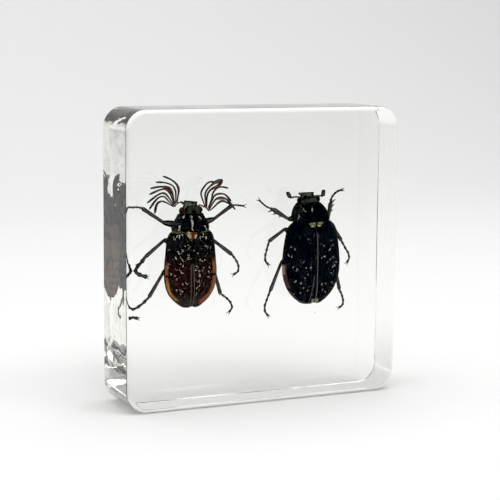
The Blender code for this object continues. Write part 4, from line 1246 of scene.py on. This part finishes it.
def paint(name, base, layers, grain=0.4, depth=0.05, roughness=0.55):
    """A finish from a base colour and layers, each (colour, strength, masks).

    A mask is (source, value where the layer is absent, value where it is full). Places are in millimetres
    in the slab's frame, and grain and depth are the size and the depth of the pits in millimetres.
    """
    made, tree, shader = new_material(name, Roughness=roughness, Specular_IOR_Level=WET_SPECULAR)
    in_mm, normal = places_on_piece(tree)
    on_piece = [("Vector", in_mm, 0)]
    where = add_node(tree, "ShaderNodeSeparateXYZ", links=[(0, in_mm, 0)])
    mottle = add_node(tree, "ShaderNodeTexNoise", {}, {"Scale": MOTTLE_PER_MM, "Detail": 4.0}, on_piece)
    speckle = add_node(tree, "ShaderNodeTexNoise", {}, {"Scale": SPECKLE_PER_MM, "Detail": 3.0}, on_piece)
    sources = {
        "across": (where, "X"), "up": (where, "Z"), "facing": (normal, "Y"),
        "mottle": (mottle, "Fac"), "speckle": (speckle, "Fac"),
    }
    for attribute in DISTANCES:
        sources[attribute] = (add_node(tree, "ShaderNodeAttribute", {"attribute_name": attribute}), "Fac")
    paint_coat = add_node(tree, "ShaderNodeRGB")
    paint_coat.outputs[0].default_value = colour(base)
    for code, strength, masks in layers:
        factor = None
        for source, absent, full in masks:
            mask = add_node(
                tree, "ShaderNodeMapRange", {"interpolation_type": "SMOOTHSTEP"},
                {"From Min": absent, "From Max": full, "To Max": strength if factor is None else 1.0},
                [("Value", *sources[source])],
            )
            if factor is not None:
                both = [(0, factor, 0), (1, mask, 0)]
                mask = add_node(tree, "ShaderNodeMath", {"operation": "MULTIPLY"}, links=both)
            factor = mask
        under = [("Fac", factor, 0), ("Color1", paint_coat, 0)]
        paint_coat = add_node(tree, "ShaderNodeMixRGB", inputs={"Color2": colour(code)}, links=under)
    tree.links.new(paint_coat.outputs[0], shader.inputs["Base Color"])
    pits = add_node(tree, "ShaderNodeTexVoronoi", {"feature": "SMOOTH_F1"}, {"Scale": 1 / grain}, on_piece)
    relief = add_node(
        tree, "ShaderNodeBump", inputs={"Strength": PIT_STRENGTH, "Distance": depth * MM},
        links=[("Height", pits, "Distance")],
    )
    tree.links.new(relief.outputs[0], shader.inputs["Normal"])
    return made


print("finishes are painted in layers over a base colour")

# %% Finishes of the male
MALE["finishes"] = {
    # Nearly black in front, red-brown behind, amber and copper along the margin, with a painted highlight
    # there
    "wing_case": paint("male_wing_case_chitin", "141416", (
        ("2D1616", 0.95, (("up", 39.5, 34.8), ("mottle", 0.15, 0.45))),
        ("351719", 0.7, (("up", 36.0, 33.0), ("up", 29.5, 31.5), ("mottle", 0.35, 0.55))),
        ("443A38", 0.9, (("up", 29.0, 26.6), ("mottle", 0.2, 0.5))),
        ("000004", 0.5, (("speckle", 0.56, 0.72),)),
        ("A86B48", 1.0, (
            ("from_margin", 0.85, 0.6), ("from_margin", 0.16, 0.34), ("across", -21.0, -22.0),
            ("up", 37.2, 35.4), ("up", 26.6, 27.4), ("speckle", 0.3, 0.42),
        )),
        ("A86B48", 1.0, (
            ("from_margin", 2.1, 1.5), ("from_margin", 0.2, 0.45), ("across", -17.6, -16.6),
            ("up", 37.8, 35.8), ("up", 25.6, 26.4), ("speckle", 0.3, 0.42),
        )),
        # Painted highlight: bright amber flecks along the margin, over its own amber
        ("D9A44E", 0.9, (
            ("from_margin", 0.9, 0.6), ("from_margin", 0.2, 0.4), ("up", 32.4, 31.2), ("up", 26.6, 27.6),
            ("speckle", 0.36, 0.5),
        )),
        ("B4512E", 0.8, (
            ("from_margin", 1.5, 1.0), ("from_margin", 0.25, 0.45), ("up", 28.2, 27.4), ("up", 25.8, 26.4),
            ("across", -18.6, -17.6),
        )),
        ("E6DCC0", 0.85, (
            ("from_margin", 1.2, 0.9), ("across", -18.5, -18.0), ("across", -16.5, -17.0), ("up", 27.3, 27.0),
            ("up", 26.0, 26.4),
        )),
        ("14100E", 0.9, (("from_margin", 2.4, 2.0), ("up", 33.7, 33.4), ("up", 32.8, 33.1))),
        ("7A706C", 0.5, (("from_gape", 0.2, 0.12), ("up", 36.6, 35.6))),
        ("958A7C", 0.65, (
            ("from_seam", 0.34, 0.26), ("from_seam", 0.05, 0.12), ("from_gape", 0.5, 0.7), ("up", 36.6, 35.6),
        )),
        ("9C8358", 0.8, (("up", 43.9, 44.3), ("speckle", 0.35, 0.55))),
    ), grain=0.45, depth=0.09),
    # Blue-black, and greyer at the sides
    "pronotum": paint("male_pronotum_chitin", "040814", (
        ("17151B", 0.8, (("mottle", 0.45, 0.65),)),
        ("6A6C6E", 0.7, (("across", -21.3, -22.8), ("speckle", 0.48, 0.6))),
        ("3A3D42", 0.5, (("across", -15.6, -14.4), ("speckle", 0.5, 0.62))),
    ), grain=0.3, depth=0.06),
    # Dull, with olive and brown patches on black
    "head": paint("male_head_chitin", "151412", (
        ("4A4D43", 0.85, (("mottle", 0.38, 0.56), ("up", 47.5, 49.0))),
        ("6A533A", 0.8, (
            ("across", -20.4, -21.2), ("up", 50.8, 49.8), ("up", 48.4, 49.0), ("speckle", 0.36, 0.52),
        )),
        ("40302B", 0.8, (("across", -17.4, -16.6), ("speckle", 0.4, 0.6))),
    ), grain=0.35, depth=0.09),
    # Grey-green where it faces the front, nearly black elsewhere, and a painted highlight of pale grey flecks
    "mouth_plate": paint("male_mouth_plate_chitin", "171815", (
        ("767D70", 0.9, (("facing", -0.8, -0.95), ("mottle", 0.3, 0.5))),
        # Painted highlight: pale grey flecks where the plate faces the front most
        ("A3A89C", 0.7, (("facing", -0.94, -0.99), ("speckle", 0.5, 0.62))),
    ), grain=0.3, depth=0.08),
    # Ochre, with a red part and a dark rim
    "shield": paint("male_shield_chitin", "8A6D38", (
        ("6E2B1C", 0.9, (("across", -19.5, -19.2), ("across", -18.0, -18.3))),
        ("2A1A10", 0.8, (("speckle", 0.52, 0.68),)),
        ("1A110C", 0.9, (("facing", -0.8, -0.5),)),
    ), grain=0.25, depth=0.05),
    # Dark brown, with finer pits than the shell, and smoother
    "eye": paint("male_eye_lens", "2A1A10", (
        ("3F3027", 0.75, (("mottle", 0.42, 0.56),)),
    ), grain=0.12, depth=0.04, roughness=0.3),
    # Brown-black, with a painted highlight in grey flecks where it faces the front
    "leg": paint("male_leg_chitin", "1C1719", (
        ("33211F", 0.7, (("mottle", 0.48, 0.62),)),
        # Painted highlight: grey where the leg faces the front, in place of the shine along its ridge
        ("7E7277", 0.75, (("facing", -0.8, -0.97), ("speckle", 0.3, 0.5))),
    ), grain=0.3, depth=0.05),
    # Brown leaves, redder at the root and dark grey at the tip
    "antenna": paint("male_antenna_leaf_membrane", "2B2120", (
        ("84655C", 0.95, (("facing", -0.55, -0.9), ("mottle", 0.25, 0.4))),
        ("93604C", 0.6, (("facing", -0.5, -0.9), ("along", 0.3, 0.05))),
        ("756A66", 0.7, (("facing", -0.6, -0.9), ("speckle", 0.48, 0.6))),
        ("3B3B38", 0.9, (("along", 0.82, 0.93),)),
    ), grain=0.25, depth=0.04),
    # Brown plates with darker joints, and darker towards the head
    "underside": paint("male_underside_chitin", "66554A", (
        ("86705C", 0.8, (("mottle", 0.45, 0.62),)),
        ("4E3E33", 0.7, (("speckle", 0.5, 0.66),)),
        ("2A1F19", 0.85, (("from_joint", 0.3, 0.12),)),
        ("3A2C25", 0.6, (("up", 40.4, 41.4),)),
    ), grain=0.4, depth=0.08),
    # Off-white and quite matt, and cream near the shield
    "scales": paint("male_white_scale", "DAD6C6", (
        ("FFFBEA", 0.9, (("speckle", 0.4, 0.6),)),
        ("E8D9A8", 0.6, (
            ("up", 41.0, 42.0), ("up", 44.2, 43.8), ("across", -21.4, -20.8), ("across", -17.0, -17.6),
        )),
    ), grain=0.1, depth=0.01, roughness=0.7),
}
print("male finishes:", len(MALE["finishes"]))

# %% Finishes of the female
FEMALE["finishes"] = {
    # Blue-black, with a narrow brown margin, paler at the tail, and a pale line along the seam
    "wing_case": paint("female_wing_case_chitin", "000414", (
        ("071018", 0.8, (("mottle", 0.45, 0.6),)),
        ("060716", 0.7, (("mottle", 0.5, 0.38), ("up", 36.0, 38.0))),
        ("1B1E1C", 0.6, (("speckle", 0.56, 0.7), ("across", 16.0, 18.0))),
        ("2A1D18", 0.8, (("from_margin", 0.5, 0.25), ("across", 12.0, 10.5))),
        ("6E5055", 0.95, (
            ("from_margin", 1.0, 0.6), ("across", 12.0, 10.5), ("up", 34.8, 34.0), ("up", 27.6, 28.8),
            ("speckle", 0.3, 0.45),
        )),
        ("C9A98E", 0.95, (
            ("from_margin", 0.62, 0.4), ("across", 9.0, 8.0), ("up", 34.4, 33.9), ("up", 31.6, 32.0),
        )),
        ("2E2823", 0.8, (("from_margin", 0.7, 0.3), ("across", 19.0, 21.0))),
        ("6A6158", 0.9, (("from_margin", 0.6, 0.3), ("up", 28.2, 26.8), ("speckle", 0.35, 0.5))),
        ("96979F", 0.95, (
            ("from_seam", 0.3, 0.22), ("from_seam", 0.05, 0.12), ("across", 15.5, 15.62), ("up", 42.6, 42.0),
        )),
        ("7C7B7E", 0.55, (("from_gape", 0.17, 0.08), ("up", 31.6, 30.6))),
        ("C3C6A6", 0.85, (("from_seam", 1.2, 0.7), ("up", 25.2, 24.8), ("speckle", 0.34, 0.48))),
    ), grain=0.4, depth=0.05),
    # Black, with grey flecks towards both sides, most at the left
    "pronotum": paint("female_pronotum_chitin", "00020A", (
        ("0D0F12", 0.8, (("mottle", 0.48, 0.64),)),
        ("5B5E60", 0.65, (("across", 12.6, 11.4), ("speckle", 0.52, 0.64))),
        ("202428", 0.6, (("across", 16.4, 18.0), ("speckle", 0.5, 0.66))),
    ), grain=0.3, depth=0.07),
    # Dull, with olive patches on black and a brown one at the left
    "head": paint("female_head_chitin", "121614", (
        ("4A5148", 0.85, (("mottle", 0.38, 0.56),)),
        ("5E5340", 0.8, (("across", 12.4, 11.6), ("up", 51.5, 50.5), ("speckle", 0.36, 0.52))),
    ), grain=0.35, depth=0.09),
    # Grey-green where it faces the front, nearly black elsewhere, and a painted highlight of pale grey flecks
    "mouth_plate": paint("female_mouth_plate_chitin", "171B18", (
        ("59615A", 0.9, (("facing", -0.9, -0.985), ("mottle", 0.3, 0.5))),
        # Painted highlight: pale grey flecks where the plate faces the front most
        ("9CA4A1", 0.7, (("facing", -0.94, -0.99), ("speckle", 0.5, 0.62))),
    ), grain=0.3, depth=0.08),
    # Olive in front and nearly black behind, with a dark line down its middle
    "shield": paint("female_shield_chitin", "0D0F0D", (
        ("83855E", 0.95, (("up", 43.9, 44.4), ("speckle", 0.3, 0.5))),
        ("0B0C0C", 0.9, (("across", 15.05, 15.25), ("across", 15.75, 15.5))),
    ), grain=0.25, depth=0.05),
    # Dark, with a brown rim on the left one
    "eye": paint("female_eye_lens", "17120D", (
        ("6A5638", 0.8, (("facing", -0.7, -0.3), ("across", 13.0, 12.0))),
    ), grain=0.12, depth=0.04, roughness=0.3),
    # Nearly black, with a painted highlight in grey flecks where it faces the front
    "leg": paint("female_leg_chitin", "242221", (
        ("2B2826", 0.7, (("mottle", 0.48, 0.62),)),
        # Painted highlight: grey where the leg faces the front, in place of the shine along its ridge
        ("77726F", 0.75, (("facing", -0.8, -0.96), ("speckle", 0.28, 0.48))),
    ), grain=0.3, depth=0.05),
    # Nearly black, with a painted highlight in grey flecks where it faces the front
    "antenna": paint("female_antenna_chitin", "141314", (
        ("3A3232", 0.8, (("mottle", 0.4, 0.6),)),
        # Painted highlight: grey where the stem and club face the front, in place of their shine
        ("77706C", 0.7, (("facing", -0.86, -0.97), ("speckle", 0.3, 0.5))),
    ), grain=0.25, depth=0.04),
    # Brown plates with darker joints, and darker towards the head
    "underside": paint("female_underside_chitin", "5C5046", (
        ("7E6C59", 0.8, (("mottle", 0.45, 0.62),)),
        ("443930", 0.7, (("speckle", 0.5, 0.66),)),
        ("211B18", 0.85, (("from_joint", 0.3, 0.12),)),
        ("2F2823", 0.6, (("up", 40.6, 41.6),)),
    ), grain=0.4, depth=0.08),
    # Cool white and quite matt, and cream on the shield
    "scales": paint("female_white_scale", "BCC4C3", (
        ("E6ECEA", 0.9, (("speckle", 0.45, 0.6),)),
        ("EEE8C0", 0.95, (
            ("up", 43.3, 43.8), ("up", 45.2, 44.8), ("across", 13.0, 13.6), ("across", 17.6, 17.0),
        )),
    ), grain=0.1, depth=0.01, roughness=0.7),
}
print("female finishes:", len(FEMALE["finishes"]))

# %% [markdown]
# ## Into the slab
#
# Each finished piece gets its finish, is made small and is stood up where its beetle lies in the slab. The
# beetle's solid in the imported model is hidden, and every piece rides on the model's one body. The
# patterns that were only copied from have done their work and are removed.

# %% Stand the beetles up in the slab
for beetle in (MALE, FEMALE):
    dressed = [(case, "wing_case") for case in beetle["wing_cases"]]
    dressed += [(piece, "leg") for piece in beetle["leg_pieces"]]
    dressed += [(piece, "antenna") for piece in beetle["antennae"]]
    dressed += [
        (beetle["pronotum"], "pronotum"), (beetle["head"], "head"), (beetle["plate"], "mouth_plate"),
        (beetle["shield_piece"], "shield"), (beetle["eye_pair"], "eye"), (beetle["mouth_feelers"], "leg"),
        (beetle["underside"], "underside"), (beetle["scales"], "scales"),
    ]
    if beetle is FEMALE:
        dressed.append((beetle["broken_bit"], "leg"))
    for piece, finish_name in dressed:
        stand_in_slab(piece, beetle, beetle["finishes"][finish_name])
    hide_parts(beetle["name"] + "_beetle")
    print(beetle["name"], "stands in the slab with", len(dressed), "pieces")
for pattern in list(parts.values()) + [scale_pattern]:
    bpy.data.objects.remove(pattern, do_unlink=True)

# %% [markdown]
# ## Resin slab
#
# A slab like this can be cast in a tray with round corners: some resin is poured, the beetles are laid on
# it, and more resin covers them. Its front edges look rounded over, perhaps by polishing, and its back
# edges almost sharp. It is one clear solid here as well, since a joint at the beetles' level would catch the
# light. The block starts as a cube, and three bevels in edit mode give it its corners and its two rims.
#
# Everything that is seen through the slab is bent by it, so its faces have to be true. Smooth shading
# alone would tilt the normals of a flat face next to a rounding, and the face would work like a lens. The
# Weighted Normal modifier gives each large face its own normal back.

# %% Slab
SLAB_SIDE = 75.0
SLAB_DEPTH = 18.0
CORNER_RADIUS = 5.3
FRONT_ROUNDING = 1.35
BACK_ROUNDING = 0.3
# How many faces go round a corner, a front edge and a back edge
CORNER_STEPS = 24
FRONT_STEPS = 8
BACK_STEPS = 3
# Faces that meet at less than this angle, in degrees, are shaded as one smooth surface
SHARPEST_SMOOTH = 35


def bevel_edges(piece, wanted, radius, segments):
    """Round the edges whose two ends both pass the test."""
    select_only(piece)
    places = [vertex.co for vertex in piece.data.vertices]
    bpy.ops.object.mode_set(mode="EDIT")
    bpy.ops.mesh.select_mode(type="EDGE")
    bpy.ops.mesh.select_all(action="DESELECT")
    bpy.ops.object.mode_set(mode="OBJECT")
    for edge in piece.data.edges:
        edge.select = wanted(*(places[index] for index in edge.vertices))
    bpy.ops.object.mode_set(mode="EDIT")
    bpy.ops.mesh.bevel(offset=radius, segments=segments, affect="EDGES", clamp_overlap=False)
    bpy.ops.object.mode_set(mode="OBJECT")


def add_slab():
    bpy.ops.object.select_all(action="DESELECT")
    bpy.ops.mesh.primitive_cube_add(size=1.0, location=(0, 0, SLAB_SIDE / 2))
    slab = bpy.context.object
    slab.name = slab.data.name = "resin_slab"
    slab.scale = (SLAB_SIDE, SLAB_DEPTH, SLAB_SIDE)
    bpy.ops.object.transform_apply(location=True, rotation=False, scale=True)
    bevel_edges(slab, lambda a, b: abs(a.y - b.y) > 1, CORNER_RADIUS, CORNER_STEPS)
    level = SLAB_DEPTH / 2 - 0.01
    bevel_edges(slab, lambda a, b: max(a.y, b.y) < -level, FRONT_ROUNDING, FRONT_STEPS)
    bevel_edges(slab, lambda a, b: min(a.y, b.y) > level, BACK_ROUNDING, BACK_STEPS)
    slab.scale = (MM, MM, MM)
    bpy.ops.object.transform_apply(location=True, rotation=False, scale=True)
    bpy.ops.object.shade_smooth_by_angle(angle=math.radians(SHARPEST_SMOOTH))
    true_faces = slab.modifiers.new("true_faces", "WEIGHTED_NORMAL")
    true_faces.mode = "FACE_AREA"
    true_faces.weight = 100
    true_faces.keep_sharp = True
    bpy.ops.object.modifier_apply(modifier="true_faces")
    return slab


slab = add_slab()
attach(slab, "root")
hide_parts("resin_front_half", "resin_back_half")
print("slab:", [round(side / MM, 1) for side in slab.dimensions], "mm,", len(slab.data.polygons), "faces")

# %% [markdown]
# ## Clear resin
#
# This is taken for water-clear polyester, cast and polished. It bends light about as much as window glass
# does, with an IOR of 1.5, so the slab mirrors its own inside at its edges and corners. It takes a trace of
# blue from light that runs far through it, which makes its edges and its shadow very faintly cream. Its two
# broad faces are flat. The narrow sides are given the shallow waves of a mould, a few millimetres long and
# less than a tenth deep, so that what is mirrored inside isn't quite straight. Nothing on the front has
# them, because everything behind it is seen through it. So slight a relief is left to the finish, and the
# mesh stays flat.

# %% Finish of the slab
WAVES_PER_MM = 0.3
WAVE_DEPTH = 0.07
ABSORPTION_PER_METRE = 5.0

# Clear and polished: what the eye gets of it is its edges, and what it mirrors
resin, tree, shader = new_material(
    "clear_cast_polyester_resin",
    Roughness=0.0, IOR=1.5, Base_Color=colour("FBFCFB"), Transmission_Weight=1.0,
)
in_mm, normal = places_on_piece(tree)
to_front = add_node(tree, "ShaderNodeMath", {"operation": "ABSOLUTE"}, links=[(0, normal, "Y")])
# Waves on what faces sideways, none on what faces the front or back, and less and less between the two
sideways = add_node(
    tree, "ShaderNodeMapRange", inputs={"From Min": 0.95, "From Max": 0.7}, links=[("Value", to_front, 0)],
)
wave = add_node(
    tree, "ShaderNodeTexNoise", inputs={"Scale": WAVES_PER_MM, "Detail": 1.0}, links=[("Vector", in_mm, 0)],
)
both = [(0, wave, "Fac"), (1, sideways, 0)]
height = add_node(tree, "ShaderNodeMath", {"operation": "MULTIPLY"}, links=both)
relief = add_node(
    tree, "ShaderNodeBump", inputs={"Strength": 1.0, "Distance": WAVE_DEPTH * MM},
    links=[("Height", height, 0)],
)
tree.links.new(relief.outputs[0], shader.inputs["Normal"])
bulk = add_node(
    tree, "ShaderNodeVolumeAbsorption", inputs={"Color": colour("FDFAF2"), "Density": ABSORPTION_PER_METRE},
)
tree.links.new(bulk.outputs[0], tree.nodes["Material Output"].inputs["Volume"])
slab.data.materials.append(resin)
print("waves on the sides:", WAVE_DEPTH, "mm deep")
